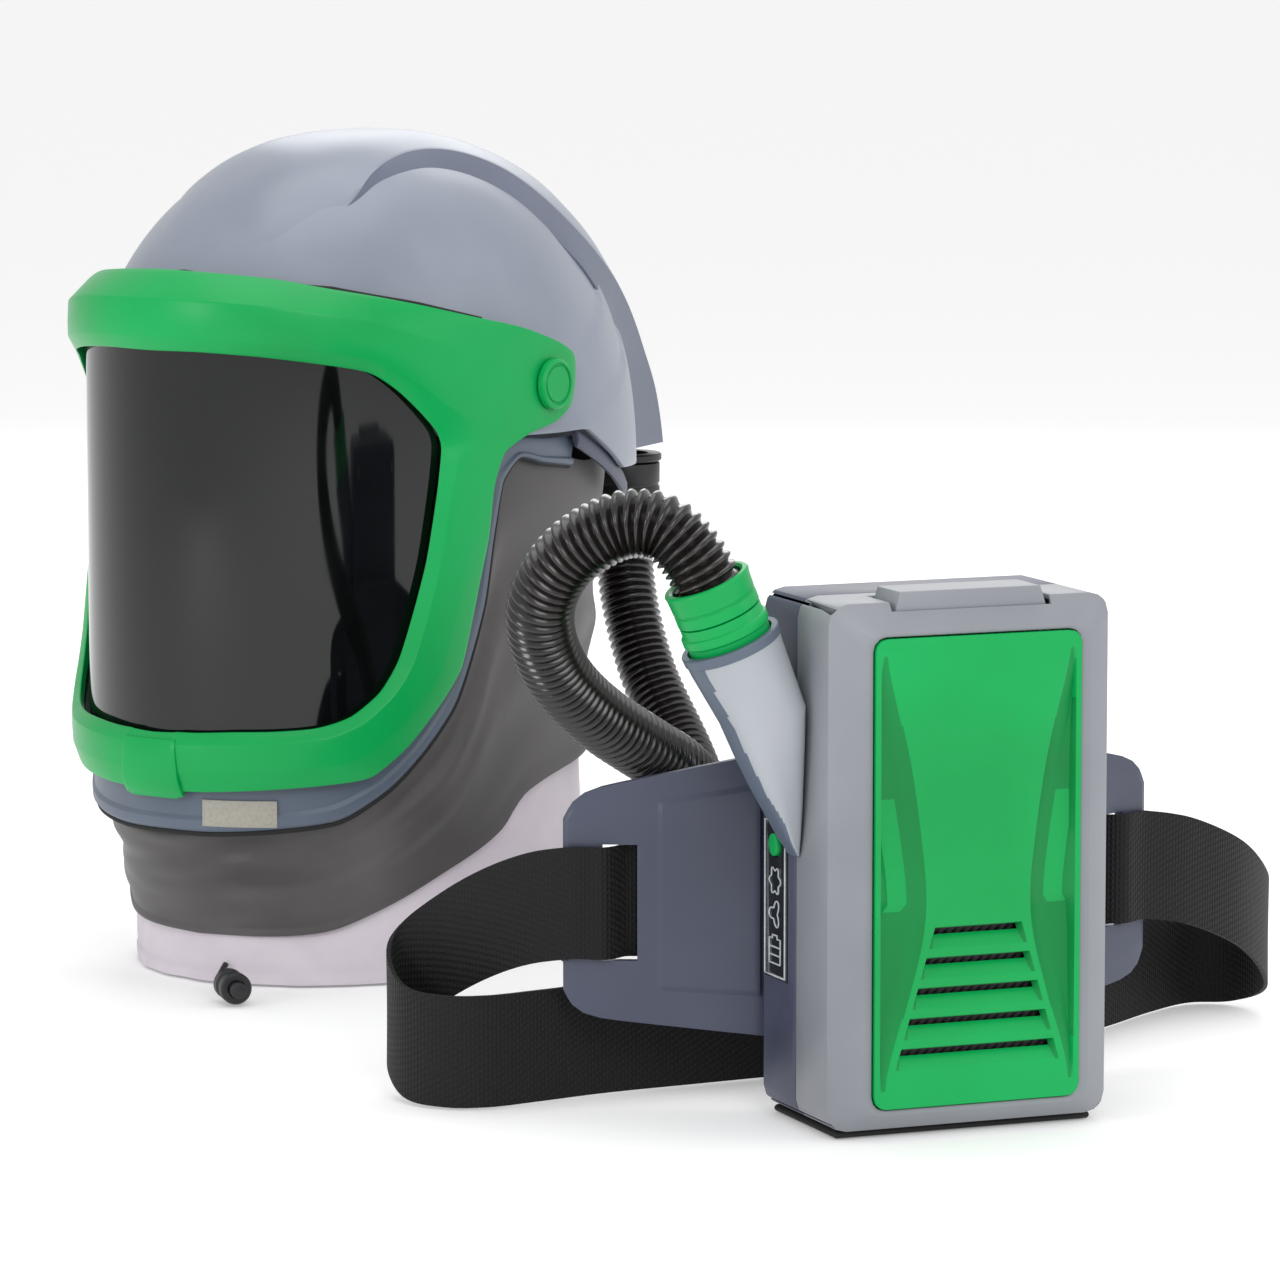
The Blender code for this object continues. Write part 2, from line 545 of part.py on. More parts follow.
def plate_y(x):
    """Front face of the belt plate at distance x from the middle."""
    s = max(0.0, (abs(x) - PLATE_FLAT) / (PLATE_HALF - PLATE_FLAT))
    return PLATE_Y + PLATE_SWEEP * s ** 1.3


PLATE_LOW = [(0, 30.0), (48, 30.0), (90, 35.0), (132, 40.0), (142, 50.0)]
PLATE_HIGH = [(0, 160.0), (48, 160.0), (90, 151.0), (132, 140.0), (142, 130.0)]
stations = [-142, -138, -130, -122, -112, -100, -85, -68, -48, 0, 48, 68, 85, 100, 112, 122, 130, 138, 142]
stations = [x * PLATE_HALF / 142.0 for x in stations]
rows = []
for x in stations:
    lo = level(PLATE_LOW, abs(x) * 142.0 / PLATE_HALF)
    hi = level(PLATE_HIGH, abs(x) * 142.0 / PLATE_HALF)
    rows.append([(x, plate_y(x), lo + (hi - lo) * k / 4) for k in range(5)])
plate = skin("belt_plate", rows, SLATE, around=False, wall=PLATE_T, core=(0, 200.0, 90.0), rough=0.5)
SLOT_Z = 91.0
SLOT_H = STRAP_W + 8.0
for side, word in ((-1, "left"), (1, "right")):
    y = plate_y(SLOT_X)
    cut(plate, box(f"cut_slot_{word}", (side * SLOT_X - SLOT_W / 2, y - 25.0, SLOT_Z - SLOT_H / 2),
                   (side * SLOT_X + SLOT_W / 2, y + 30.0, SLOT_Z + SLOT_H / 2), cutter=True))


def strap(name, points, step=6.5):
    """Webbing on edge along a smooth route of (x, y, height of its middle)."""
    line = smooth(points, step)
    rows = []
    for k, p in enumerate(line):
        ahead = (line[min(k + 1, len(line) - 1)] - line[max(k - 1, 0)])
        side = Vector((-ahead.y, ahead.x, 0.0)).normalized() * (STRAP_T / 2)
        up = Vector((0.0, 0.0, STRAP_W / 2))
        rows.append([p + side + up, p - side + up, p - side - up, p + side - up])
    return skin(name, rows, BLACK, capped=True, rough=0.85)


def through_slot(side):
    """Route of the webbing from behind the plate, through its slot and over the wing's front."""
    back, front = PLATE_T + STRAP_T / 2 + 2.4, -STRAP_T / 2 - 1.8
    pts = []
    for x, off in ((SLOT_X - 22.0, back), (SLOT_X - 13.0, back), (SLOT_X - 5.0, back - 0.6), (SLOT_X + 5.0, front + 0.6),
                   (SLOT_X + 12.0, front), (PLATE_HALF - 2.0, front)):
        pts.append((side * x, plate_y(x) + off, SLOT_Z))
    return pts


FLOOR_Z = STRAP_W / 2 + 0.6
belt_left = strap("belt_strap_left", through_slot(-1) + [(-156, 92, 87), (-172, 110, 77), (-187, 130, 62), (-199, 139, 49),
                  (-206, 131, 38), (-205, 113, FLOOR_Z + 2), (-194, 96, FLOOR_Z), (-176, 88, FLOOR_Z), (-150, 92, FLOOR_Z),
                  (-115, 99, FLOOR_Z), (-70, 103, FLOOR_Z), (-32, 106, FLOOR_Z)])
belt_right = strap("belt_strap_right", through_slot(1) + [(168, 86, 85), (202, 103, 70), (230, 132, 50), (246, 165, 35),
                   (243, 190, FLOOR_Z + 1), (224, 199, FLOOR_Z), (196, 184, FLOOR_Z), (160, 158, FLOOR_Z),
                   (118, 132, FLOOR_Z), (76, 115, FLOOR_Z), (36, 109.5, FLOOR_Z)])
BUCKLE_Z = BUCKLE_W / 2 + 0.6
B_AT = Vector((0.0, 108.0, BUCKLE_Z))
buckle_socket = box("buckle_socket", (-31.5, B_AT.y - BUCKLE_T / 2, 0.6), (4.0, B_AT.y + BUCKLE_T / 2, BUCKLE_W + 0.6), BLACK, bevel=2.0)
cut(buckle_socket, box("cut_buckle_mouth", (-20.0, B_AT.y - 3.6, BUCKLE_Z - 19.0), (12.0, B_AT.y + 3.6, BUCKLE_Z + 19.0),
                       cutter=True))
buckle_plug = skin("buckle_plug",
                   [[(x, B_AT.y - h, BUCKLE_Z - w), (x, B_AT.y + h, BUCKLE_Z - w), (x, B_AT.y + h, BUCKLE_Z + w),
                     (x, B_AT.y - h, BUCKLE_Z + w)] for x, h, w in
                    ((-18.0, 2.6, 12.0), (-12.0, 2.8, 17.5), (3.0, 2.8, 17.5), (4.5, 2.8, 18.0), (4.6, 5.0, BUCKLE_W / 2 - 2),
                     (35.0, 5.0, BUCKLE_W / 2 - 2))], BLACK, capped=True)

# =================================================================================================
# HELMET
# =================================================================================================


def crown_rim(ang):
    """Height of the crown's lower edge round the head; 0 is the face, 180 the nape."""
    return level([(0, 322), (60, 310), (72, 292), (82, 266), (104, 264), (120, 241), (150, 237), (180, 237)], abs(ang))


def crown_at(ang, z, off=0.0):
    """Point on the dome at an angle round the head and a height."""
    zeta = min(max((z - CROWN_Z0) / CROWN_RISE, 0.0), 1.0)
    rho = (1.0 - zeta ** CROWN_N) ** (1.0 / CROWN_N)
    a = math.radians(ang)
    b = CROWN_BF if math.cos(a) > 0 else CROWN_BR
    p = Vector((CROWN_A * rho * math.sin(a), -b * rho * math.cos(a), z))
    return p + (p - Vector((0.0, 0.0, CROWN_Z0 - 1.0))).normalized() * off


def dome_rows(rim, off, cols=40, rows=9):
    """Rings from the rim up to a small ring at the top of the dome."""
    out = []
    for j in range(rows + 1):
        row = []
        for k in range(cols):
            ang = -180 + 360 * k / cols
            low = max((rim(ang) - CROWN_Z0) / CROWN_RISE, 0.001)
            e0 = math.asin(low ** (CROWN_N / 2))
            e = e0 + (math.radians(87.5) - e0) * j / rows
            z = CROWN_Z0 + CROWN_RISE * math.sin(e) ** (2 / CROWN_N)
            row.append(crown_at(ang, z, off))
        out.append(row)
    return out


crown = skin("crown_shell", dome_rows(crown_rim, 0.0), SHELL_GREY, wall=SHELL_T, core=(0, 0, CROWN_Z0), parent=helmet, rough=0.35)
# the small ring at the very top is closed with a face before the wall is grown
bm = bmesh.new()
bm.from_mesh(crown.data)
top_edges = [e for e in bm.edges if e.is_boundary and min(v.co.z for v in e.verts) > (CROWN_Z0 + CROWN_RISE * 0.9) * MM]
bmesh.ops.contextual_create(bm, geom=top_edges)
bmesh.ops.recalc_face_normals(bm, faces=bm.faces)
bm.to_mesh(crown.data)
bm.free()


def duct_point(x, phi, off):
    """Point on the dome in the plane that leans phi back from upright, x to the side, raised by off."""
    u = (math.sin(phi), math.cos(phi))
    lo, hi = 0.0, 400.0
    for _ in range(40):
        k = (lo + hi) / 2
        y, h = k * u[0], k * u[1]
        b = CROWN_BR if y > 0 else CROWN_BF
        rho = math.hypot(x / CROWN_A, y / b)
        zeta = max(h, 0.0) / CROWN_RISE
        lo, hi = (k, hi) if rho ** CROWN_N + zeta ** CROWN_N < 1 else (lo, k)
    return Vector((x, (lo + off) * u[0], CROWN_Z0 + (lo + off) * u[1]))


# duct cover: a raised channel from the top of the head to the nape, where the hose comes in
SEAT = 2.4                                # clearance of the cover's edge over the dome
duct_rows = []
for phi, w, h in ((-16, 18, 5.0), (-8, 26, 5.6), (3, 32, 6.5), (14, 35, 7.5), (25, 37, 8.5), (36, 39, 10), (46, 41, 12), (55, 43, 15),
                  (64, 44, 19), (72, 44, 25), (79, 44, 31), (85, 44, 38), (89.5, 44, 46)):
    p, wide = math.radians(phi), w * DUCT_W / 44.0
    mid = duct_point(0.0, p, h)
    rise = []
    for fx, fh in ((-1.0, 0.0), (-0.97, 0.45), (-0.72, 0.97), (0.0, 1.0), (0.72, 0.97), (0.97, 0.45), (1.0, 0.0)):
        floor_point = duct_point(fx * wide, p, SEAT)
        high = Vector((fx * wide, mid.y, mid.z))
        rise.append(floor_point.lerp(high, fh) if fh else floor_point)
    duct_rows.append(rise)
duct = skin("rear_duct_cover", duct_rows, SHELL_GREY, around=False, wall=DUCT_T, core=(0, 0, CROWN_Z0 - 60), parent=helmet, rough=0.4)

# socket that the hose plugs into, under the duct's open end
socket = ring("hose_inlet_socket", SOCKET_R, HOSE_R - 2.5, 0.0, 4.0, (*SOCKET_AT, SOCKET_Z - 4.5), (0, 0, 1), BLACK, parent=helmet)
helmet_cuff = ring("helmet_hose_cuff", HOSE_R + 3.5, HOSE_R + GAP + 0.2, 0.0, 17.0, (*SOCKET_AT, SOCKET_Z - 22.0), (0, 0, 1),
                   BLACK, parent=helmet)

# ---- visor ---------------------------------------------------------------------------------------
VIS_A = CROWN_A + VISOR_OUT
VIS_B = CROWN_BF + VISOR_OUT


def visor_at(ang, z, off=0.0):
    a = math.radians(ang)
    return Vector(((VIS_A + off) * math.sin(a), -(VIS_B + off) * math.cos(a), z))


# (angle, height) of the bezel's outer edge and of the window edge, from the brow down to the chin
EDGE = [((0, 349), (0, 311)), ((15, 348), (14, 311)), ((30, 345.5), (28, 309)), ((42, 341), (40, 305.5)),
        ((52, 337), (50, 301)), ((62, 332), (57, 290)), ((72, 326), (62, 277)), ((84, 319), (65.5, 265)),
        ((95, 310), (65.5, 258)), ((100.4, 303), (65.3, 252)), ((101, 292), (65, 247)), ((99.5, 279), (64.6, 242)),
        ((93.7, 270), (64.3, 237)), ((82, 265), (64, 231)), ((77, 247), (63, 222)), ((76, 217), (61.5, 205)),
        ((73, 185), (59, 183)), ((70, 157), (56, 162)), ((66, 142), (52, 147)), ((58, 120), (46, 136)),
        ((50, 106), (39, 131)), ((40, 103), (30, 129.5)), ((27, 101), (21, 129)), ((14, 99.5), (12, 128)), ((7, 95.5), (6, 127.5)),
        ((0, 95.5), (0, 127))]


def both_sides(half):
    """The matched points of one side, carried round to the other."""
    return list(half) + [((-o[0], o[1]), (-i[0], i[1])) for o, i in reversed(half[1:-1])]


def band_rows(pairs, steps):
    """Rows from the outer to the inner edge; a step is (share of the way, offset by height)."""
    rows = []
    for t, off in steps:
        rows.append([visor_at(o[0] + (i[0] - o[0]) * t, o[1] + (i[1] - o[1]) * t, off(o, i)) for o, i in pairs])
    return rows


def brow(o, i):
    """How far the bezel's top edge leans in over the brow."""
    return -level([(0, 4.0), (200, 3.0), (250, 0.8), (320, 0.8), (327, 2.0), (341, 12.0), (349, 17.0)], o[1])


visor = skin("visor_bezel",
             band_rows(both_sides(EDGE), ((0.0, brow), (0.34, lambda o, i: 0.0), (0.8, lambda o, i: 0.0), (1.0, lambda o, i: -3.0))),
             GREEN, wall=VISOR_T, core=(0, 0, 220), parent=helmet, rough=0.35, at=(0, PIVOT_Y, PIVOT_Z))
LENS_OFF = -3.0 - VISOR_T - 2.0
lens_table = [(0, 117, 321), (20, 118, 320), (38, 121, 316), (50, 133, 309), (58, 157, 296), (64, 202, 275), (68, 226, 257)]
rows = []
for ang in (-68, -64, -58, -50, -42, -34, -25, -15, -5, 5, 15, 25, 34, 42, 50, 58, 64, 68):
    lo = level([(a, z) for a, z, _ in lens_table], abs(ang))
    hi = level([(a, z) for a, _, z in lens_table], abs(ang))
    rows.append([visor_at(ang, lo + (hi - lo) * k / 3, LENS_OFF) for k in range(4)])
lens = skin("visor_lens", rows, (0.10, 0.12, 0.13), around=False, wall=LENS_T, core=(0, 0, 220), parent=helmet, rough=0.08,
            at=(0, PIVOT_Y, PIVOT_Z))
GASKET_OFF = -VISOR_T - 1.2 * VIS_A / 122.5
gasket = skin("lens_gasket", band_rows(both_sides(EDGE), ((0.64, lambda o, i: GASKET_OFF), (0.79, lambda o, i: GASKET_OFF))),
              BLACK, wall=1.2, core=(0, 0, 220), parent=helmet, at=(0, PIVOT_Y, PIVOT_Z), rough=0.7)

for side, word in ((-1, "right"), (1, "left")):
    def at_x(x):
        return (side * x, PIVOT_Y, PIVOT_Z)
    pin_way = cylinder(f"cut_pin_{word}", at_x(VIS_A - 22.0), at_x(VIS_A + 8.0), PIN_R + FIT / 2, sides=20, cutter=True, parent=helmet)
    cut(crown, pin_way)
    cut(visor, pin_way)
    cylinder(f"pivot_pin_{word}", at_x(VIS_A - 13.5), at_x(VIS_A + 0.6), PIN_R, STEEL, sides=20, parent=helmet, metal=0.9)
    cylinder(f"pivot_cap_{word}", at_x(VIS_A + 0.6 + GAP), at_x(VIS_A + 3.6), CAP_R, GREEN, sides=24, r2=CAP_R - 1.5, parent=helmet)

# thin seal along the brow, on the crown just inside the bezel's top edge
seal_line = [crown_at(ang, level([(0, 345), (42, 338), (62, 330), (80, 320)], abs(ang)), 2.4) for ang in range(-78, 79, 6)]
brow_seal = tube("brow_seal", seal_line, 1.6, BLACK, resolution=1, parent=helmet)

# ---- jaw frame: a band from ear to ear under the visor, fixed to the crown -----------------------------
JAW_OFF = -4.0 - VISOR_T - 2.6
JAW = [((108, 246), (108, 261)), ((96, 250), (96, 262)), ((88, 254), (87, 264)), ((83, 243), (79, 256)),
       ((80.5, 217), (73, 217)), ((78, 185), (70, 185)), ((74, 157), (66, 160)), ((70, 136), (62, 146)), ((63, 116), (56, 128)),
       ((55, 99), (48, 115)), ((44, 85), (38, 110)), ((30, 81), (28, 107)), ((14, 79), (13, 105)), ((0, 79), (0, 104))]
jaw_pairs = JAW + [((-o[0], o[1]), (-i[0], i[1])) for o, i in reversed(JAW[:-1])]
jaw = skin("jaw_frame", band_rows(jaw_pairs, ((0.0, lambda o, i: JAW_OFF - 0.5), (0.5, lambda o, i: JAW_OFF), (1.0, lambda o, i: JAW_OFF - 0.3))),
           SLATE, around=False, wall=JAW_T, core=(0, 0, 200), parent=helmet, rough=0.45)
chin_rows = [[visor_at(a, 82.0 + 13.0 * k, JAW_OFF + 1.3) for a in (12, 18, 24, 30)] for k in (0, 1)]
chin_plate = skin("chin_plate", chin_rows, WHITE, around=False, wall=0.9, core=(0, 0, 90), parent=helmet)

# ---- fabric bib and cape ------------------------------------------------------------------------------
HEM = [(0, 24), (35, 27), (51, 38), (67, 53), (86, 71), (95, 87), (116, 95), (180, 100)]
BIB_TOP = [(0, 88), (30, 90), (44, 94), (55, 108), (63, 124), (70, 144), (78, 192), (81, 222), (85, 246), (96, 254), (106, 250),
           (116, 246), (180, 243)]
BIB_OFF = JAW_OFF - JAW_T - 2.8


def plan(ang, a, bf, br, z):
    t = math.radians(ang)
    return Vector((a * math.sin(t), -(bf if math.cos(t) > 0 else br) * math.cos(t), z))


def bib_at(ang, s):
    """Point on the bib, s = 0 at its top edge and 1 at its hem."""
    top, low = level(BIB_TOP, abs(ang)), level(HEM, abs(ang))
    e = s ** 0.9
    return plan(ang, VIS_A + BIB_OFF - 4.0 * e, VIS_B + BIB_OFF - 22.0 * e, CROWN_BR - SHELL_T - 9.0 - 18.0 * e, top + (low - top) * s)


cols = [-180 + 360 * k / 40 for k in range(40)]
bib = skin("bib", [[bib_at(a, j / 5) for a in cols] for j in range(6)], FABRIC, wall=FABRIC_T, core=(0, 0, 120), parent=helmet, rough=0.7)
cape = skin("cape", [[plan(a, VIS_A + BIB_OFF - 8.0 - 1.0 * s, VIS_B + BIB_OFF - 26.0 + 3.0 * s, CROWN_BR - SHELL_T - 31.0 - 4.0 * s,
                           (level(HEM, abs(a)) + 16.0) * (1 - s) + 0.8 * s) for a in cols] for s in (0.0, 0.4, 0.75, 1.0)],
            LAVENDER, wall=FABRIC_T, core=(0, 0, 40), parent=helmet, rough=0.85)

# drawstring out of the cape's hem, with its cord lock on the floor
KNOT = Vector((16.0, -(VIS_B + BIB_OFF - 23.0) - 1.0, 10.0))
LOCK = Vector((50.0, KNOT.y - 36.0, 8.2))
LOCK_R = 7.6
draw_dir = Vector((0.8, -0.6, 0.0)).normalized()
drawstring = tube("drawstring", smooth([KNOT, KNOT + Vector((4, -10, -5)), LOCK - draw_dir * 18.0 - Vector((0, 0, 2)), LOCK - draw_dir * 10.0], 6.0), 1.5,
                  BLACK, resolution=1, parent=helmet)
lock_body = ring("cord_lock_body", LOCK_R, 4.4, -9.0, 9.0, LOCK, draw_dir, BLACK, steps=20, parent=helmet)
lock_plunger = cylinder("cord_lock_plunger", LOCK - draw_dir * 4.0, LOCK + draw_dir * 14.0, 3.9, BLACK, sides=16, parent=helmet,
                        at=LOCK)

# ---- head harness inside the crown ----------------------------------------------------------------------


def oval(a, b, z, n=36):
    return [Vector((a * math.cos(2 * math.pi * k / n), b * math.sin(2 * math.pi * k / n), z)) for k in range(n)]


headband = skin("headband", [oval(BAND_A, BAND_B, BAND_Z), oval(BAND_A, BAND_B, BAND_Z + BAND_H)], BLACK, wall=BAND_T,
                core=(0, 0, BAND_Z + BAND_H / 2), parent=helmet)
brow_pad = skin("brow_pad", [[Vector(((BAND_A - BAND_T - 1.0) * math.sin(math.radians(t)), -(BAND_B - BAND_T - 1.0) * math.cos(math.radians(t)), z))
                              for t in range(-50, 51, 10)] for z in (BAND_Z + 3.0, BAND_Z + BAND_H - 3.0)], LAVENDER, around=False, wall=5.0,
                core=(0, 0, BAND_Z + BAND_H / 2), parent=helmet, rough=0.9)
MIDZ = BAND_Z + BAND_H / 2
for side, word in ((-1, "right"), (1, "left")):
    x0, x1 = BAND_A + GAP, CROWN_A - SHELL_T - 13.0
    box(f"headband_link_{word}", (min(side * x0, side * x1), -26.0, MIDZ - 6.0), (max(side * x0, side * x1), -16.0, MIDZ + 6.0), BLACK,
        bevel=1.0, parent=helmet)
HOUSE_Y = BAND_B + GAP
ratchet_housing = box("ratchet_housing", (-34.0, HOUSE_Y, MIDZ - 17.0), (34.0, HOUSE_Y + 11.0, MIDZ + 17.0), BLACK, bevel=2.0, parent=helmet)
ratchet_knob = cylinder("ratchet_knob", (0, HOUSE_Y + 11.0 + GAP, MIDZ), (0, HOUSE_Y + 26.0, MIDZ), 18.0, SLATE, sides=20, parent=helmet)


def head_strap(name, a, z_top, along):
    """A flat strap arching over the head from one side of the headband to the other."""
    rows = []
    for k in range(15):
        t = math.pi * k / 14
        reach, h = (a - BAND_T - 2.6) * math.cos(t), BAND_Z + 6.0 + (z_top - BAND_Z - 6.0) * math.sin(t) ** 0.9
        mid = Vector((reach, 0, h)) if along == 'X' else Vector((0, reach, h))
        wide = Vector((0, 9.0, 0)) if along == 'X' else Vector((9.0, 0, 0))
        rows.append([mid - wide, mid + wide])
    return skin(name, rows, BLACK, around=False, wall=1.4, core=(0, 0, BAND_Z), parent=helmet, rough=0.8)


head_strap("crown_strap_cross", BAND_A, BAND_Z + 82.0, 'X')
head_strap("crown_strap_long", BAND_B - 6.0, BAND_Z + 87.0, 'Y')

# nozzle bar above the brow that washes air down the lens
nozzle_rows = []
for ang in range(-30, 31, 10):
    p = crown_at(ang, 326.0, -SHELL_T - 5.0)
    inward = Vector((-math.sin(math.radians(ang)), math.cos(math.radians(ang)), 0.0)) * 7.0
    nozzle_rows.append([p, p + inward, p + inward + Vector((0, 0, 9.0)), p + Vector((0, 0, 9.0)) + inward * 0.9])
air_nozzle = skin("air_nozzle", nozzle_rows, SLATE, capped=True, parent=helmet)
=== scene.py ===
# %% [markdown]
# A powered air respirator has two halves joined by a hose: a hard helmet with a visor and a fabric
# cape, and a blower unit on a waist belt that pushes filtered air up the hose.  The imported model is
# loaded first.  It fixes every place and size, and everything below dresses it.

# %% Load the frame
import bpy
import json
import math
from mathutils import Matrix, Vector, noise

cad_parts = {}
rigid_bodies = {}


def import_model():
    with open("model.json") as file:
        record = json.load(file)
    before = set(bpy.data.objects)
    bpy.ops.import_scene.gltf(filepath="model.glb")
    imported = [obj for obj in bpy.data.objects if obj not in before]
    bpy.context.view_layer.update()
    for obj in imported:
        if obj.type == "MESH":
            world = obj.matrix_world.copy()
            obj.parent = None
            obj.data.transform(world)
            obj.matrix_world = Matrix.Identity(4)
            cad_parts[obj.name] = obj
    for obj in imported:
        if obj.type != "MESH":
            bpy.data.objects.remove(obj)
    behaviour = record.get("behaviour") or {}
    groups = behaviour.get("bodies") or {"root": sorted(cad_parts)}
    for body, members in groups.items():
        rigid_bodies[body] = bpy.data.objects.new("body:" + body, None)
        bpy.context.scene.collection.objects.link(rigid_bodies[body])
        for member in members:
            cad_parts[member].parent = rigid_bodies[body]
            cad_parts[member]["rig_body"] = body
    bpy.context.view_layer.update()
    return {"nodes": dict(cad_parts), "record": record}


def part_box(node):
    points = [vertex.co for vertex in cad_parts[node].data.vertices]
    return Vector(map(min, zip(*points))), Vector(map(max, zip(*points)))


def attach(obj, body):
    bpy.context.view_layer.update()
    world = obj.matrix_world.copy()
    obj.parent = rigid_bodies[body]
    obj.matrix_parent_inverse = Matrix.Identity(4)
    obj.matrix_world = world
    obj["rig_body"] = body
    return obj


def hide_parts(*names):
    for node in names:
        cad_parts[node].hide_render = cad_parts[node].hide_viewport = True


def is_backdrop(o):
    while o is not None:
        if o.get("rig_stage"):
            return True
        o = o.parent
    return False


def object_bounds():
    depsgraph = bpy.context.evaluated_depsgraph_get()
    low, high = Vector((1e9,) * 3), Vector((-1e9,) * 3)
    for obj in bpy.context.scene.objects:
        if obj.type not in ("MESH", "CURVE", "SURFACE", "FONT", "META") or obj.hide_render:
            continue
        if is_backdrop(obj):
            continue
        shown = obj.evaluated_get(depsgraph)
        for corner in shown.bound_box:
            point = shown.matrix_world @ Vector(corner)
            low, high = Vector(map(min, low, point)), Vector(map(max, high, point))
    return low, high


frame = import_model()
scene = bpy.context.scene
MM = 0.001

# %% [markdown]
# The camera stands a little to the left of the unit's front and slightly above it, far away with a
# long lens, so the two halves keep their real proportions.

# %% Camera, floor and soft light
bpy.ops.object.select_all(action='DESELECT')
bpy.ops.object.camera_add(location=(-1.16682, -2.5445, 0.567), rotation=(math.radians(82.72315), 0, math.radians(-22)))
camera = bpy.context.object
camera.data.lens = 182.8125
camera.data.sensor_width = 36
camera.data.clip_end = 20
scene.camera = camera

bpy.ops.mesh.primitive_plane_add(size=80, location=(0, 0, -0.0006))
floor = bpy.context.object
floor.name = "studio_floor"
floor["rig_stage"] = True
floor_card = bpy.data.materials.new("pale studio card")
floor_card.use_nodes = True
shader = floor_card.node_tree.nodes["Principled BSDF"]
shader.inputs["Base Color"].default_value = (0.86, 0.86, 0.86, 1)
shader.inputs["Roughness"].default_value = 0.8
shader.inputs["Specular IOR Level"].default_value = 0.1
shader.inputs["Emission Color"].default_value = (1, 1, 1, 1)
shader.inputs["Emission Strength"].default_value = 0.22
floor.data.materials.append(floor_card)


def lamp(name, place, aim, size, power, tint=(1, 1, 1)):
    """A large soft area light turned towards a point."""
    bpy.ops.object.light_add(type='AREA', location=place)
    light = bpy.context.object
    light.name = name
    light.data.size = size
    light.data.energy = power
    light.data.color = tint
    light.rotation_euler = (Vector(aim) - Vector(place)).to_track_quat('-Z', 'Y').to_euler()
    return light


lamp("key_softbox", (-0.4, -2.3, 1.7), (0, 0.2, 0.15), 1.3, 20)
lamp("left_strip", (-2.1, -0.5, 0.7), (-0.1, 0.4, 0.2), 0.5, 7)
lamp("fill_softbox", (1.9, -1.2, 1.2), (0, 0.2, 0.2), 1.2, 6)
lamp("top_softbox", (0.1, 0.6, 2.4), (0, 0.3, 0.2), 1.6, 13)
lamp("rim_softbox", (0.9, 2.4, 1.4), (0, 0.4, 0.25), 1.2, 10)

world = bpy.data.worlds.new("studio") if scene.world is None else scene.world
scene.world = world
world.use_nodes = True
world.node_tree.nodes["Background"].inputs["Color"].default_value = (1, 1, 1, 1)
world.node_tree.nodes["Background"].inputs["Strength"].default_value = 0.8
scene.view_settings.view_transform = 'Standard'

# %% [markdown]
# Every finish is a Principled material.  Colours are written as the hex values that a screen shows
# and turned to linear light by one function.  A second function adds one node with its settings
# and links, and a third wires what it gives into the material.

# %% Helpers for finishes


def hexed(code):
    """An sRGB hex colour as linear RGBA."""
    values = [int(code[k:k + 2], 16) / 255 for k in (1, 3, 5)]
    return (*[v / 12.92 if v <= 0.04045 else ((v + 0.055) / 1.055) ** 2.4 for v in values], 1.0)


def add(tree, kind, settings=(), **wires):
    """One node: its settings by property or socket name, a ramp's stops as (place, hex) pairs, then its wires."""
    node = tree.nodes.new(kind)
    for key, value in dict(settings).items():
        if key == "stops":
            marks = node.color_ramp.elements
            while len(marks) < len(value):
                marks.new(0.5)
            for mark, (place, colour) in zip(marks, value):
                mark.position = place
                mark.color = hexed(colour)
        elif isinstance(key, str) and hasattr(node, key):
            setattr(node, key, value)
        else:
            node.inputs[key].default_value = value
    for key, source in wires.items():
        tree.links.new(source, node.inputs[int(key[1:]) if key[0] == "n" and key[1:].isdigit() else key])
    return node


def plain(name, colour, rough, metal=0.0, ior=1.5, **sockets):
    """A Principled material with the settings that are the same all over it."""
    mat = bpy.data.materials.new(name)
    mat.use_nodes = True
    shader = mat.node_tree.nodes["Principled BSDF"]
    shader.inputs["Base Color"].default_value = hexed(colour)
    shader.inputs["Roughness"].default_value = rough
    shader.inputs["Metallic"].default_value = metal
    shader.inputs["IOR"].default_value = ior
    for key, value in sockets.items():
        shader.inputs[key.replace("_", " ")].default_value = value
    return mat


def feed(mat, **sources):
    """Wire sources into a material's Principled shader, by socket name."""
    shader = mat.node_tree.nodes["Principled BSDF"]
    for key, source in sources.items():
        mat.node_tree.links.new(source, shader.inputs[key.replace("_", " ")])


def moulded(name, colours, rough, grain_mm, depth_mm, spread=0.06, **sockets):
    """Moulded plastic: a fine spark-eroded grain, and colour and gloss that wander slowly."""
    mat = plain(name, colours[1], rough, **sockets)
    tree = mat.node_tree
    place = add(tree, 'ShaderNodeTexCoord').outputs["Object"]
    slow = add(tree, 'ShaderNodeTexNoise', {"Scale": 9.0, "Detail": 3.0}, Vector=place).outputs[0]
    fine = add(tree, 'ShaderNodeTexNoise', {"Scale": 1000.0 / grain_mm, "Detail": 2.0}, Vector=place).outputs[0]
    gloss = {"From Min": 0.3, "From Max": 0.7, "To Min": rough - spread, "To Max": rough + spread}
    tint = add(tree, 'ShaderNodeValToRGB', {"stops": ((0.3, colours[0]), (0.5, colours[1]), (0.72, colours[2]))}, Fac=slow)
    feed(mat, Base_Color=tint.outputs["Color"],
         Roughness=add(tree, 'ShaderNodeMapRange', gloss, Value=slow).outputs[0],
         Normal=add(tree, 'ShaderNodeBump', {"Strength": 0.35, "Distance": depth_mm * MM}, Height=fine).outputs[0])
    return mat


# %% [markdown]
# The hard parts are injection moulded.  The helmet's shell is satin ABS in a cool grey, the unit's
# front a neutral grey, the carriers slate, and the visor frame and filter cover a bright green with
# more gloss.  A grain of about 0.6 mm is drawn, because the real one is too fine to show.

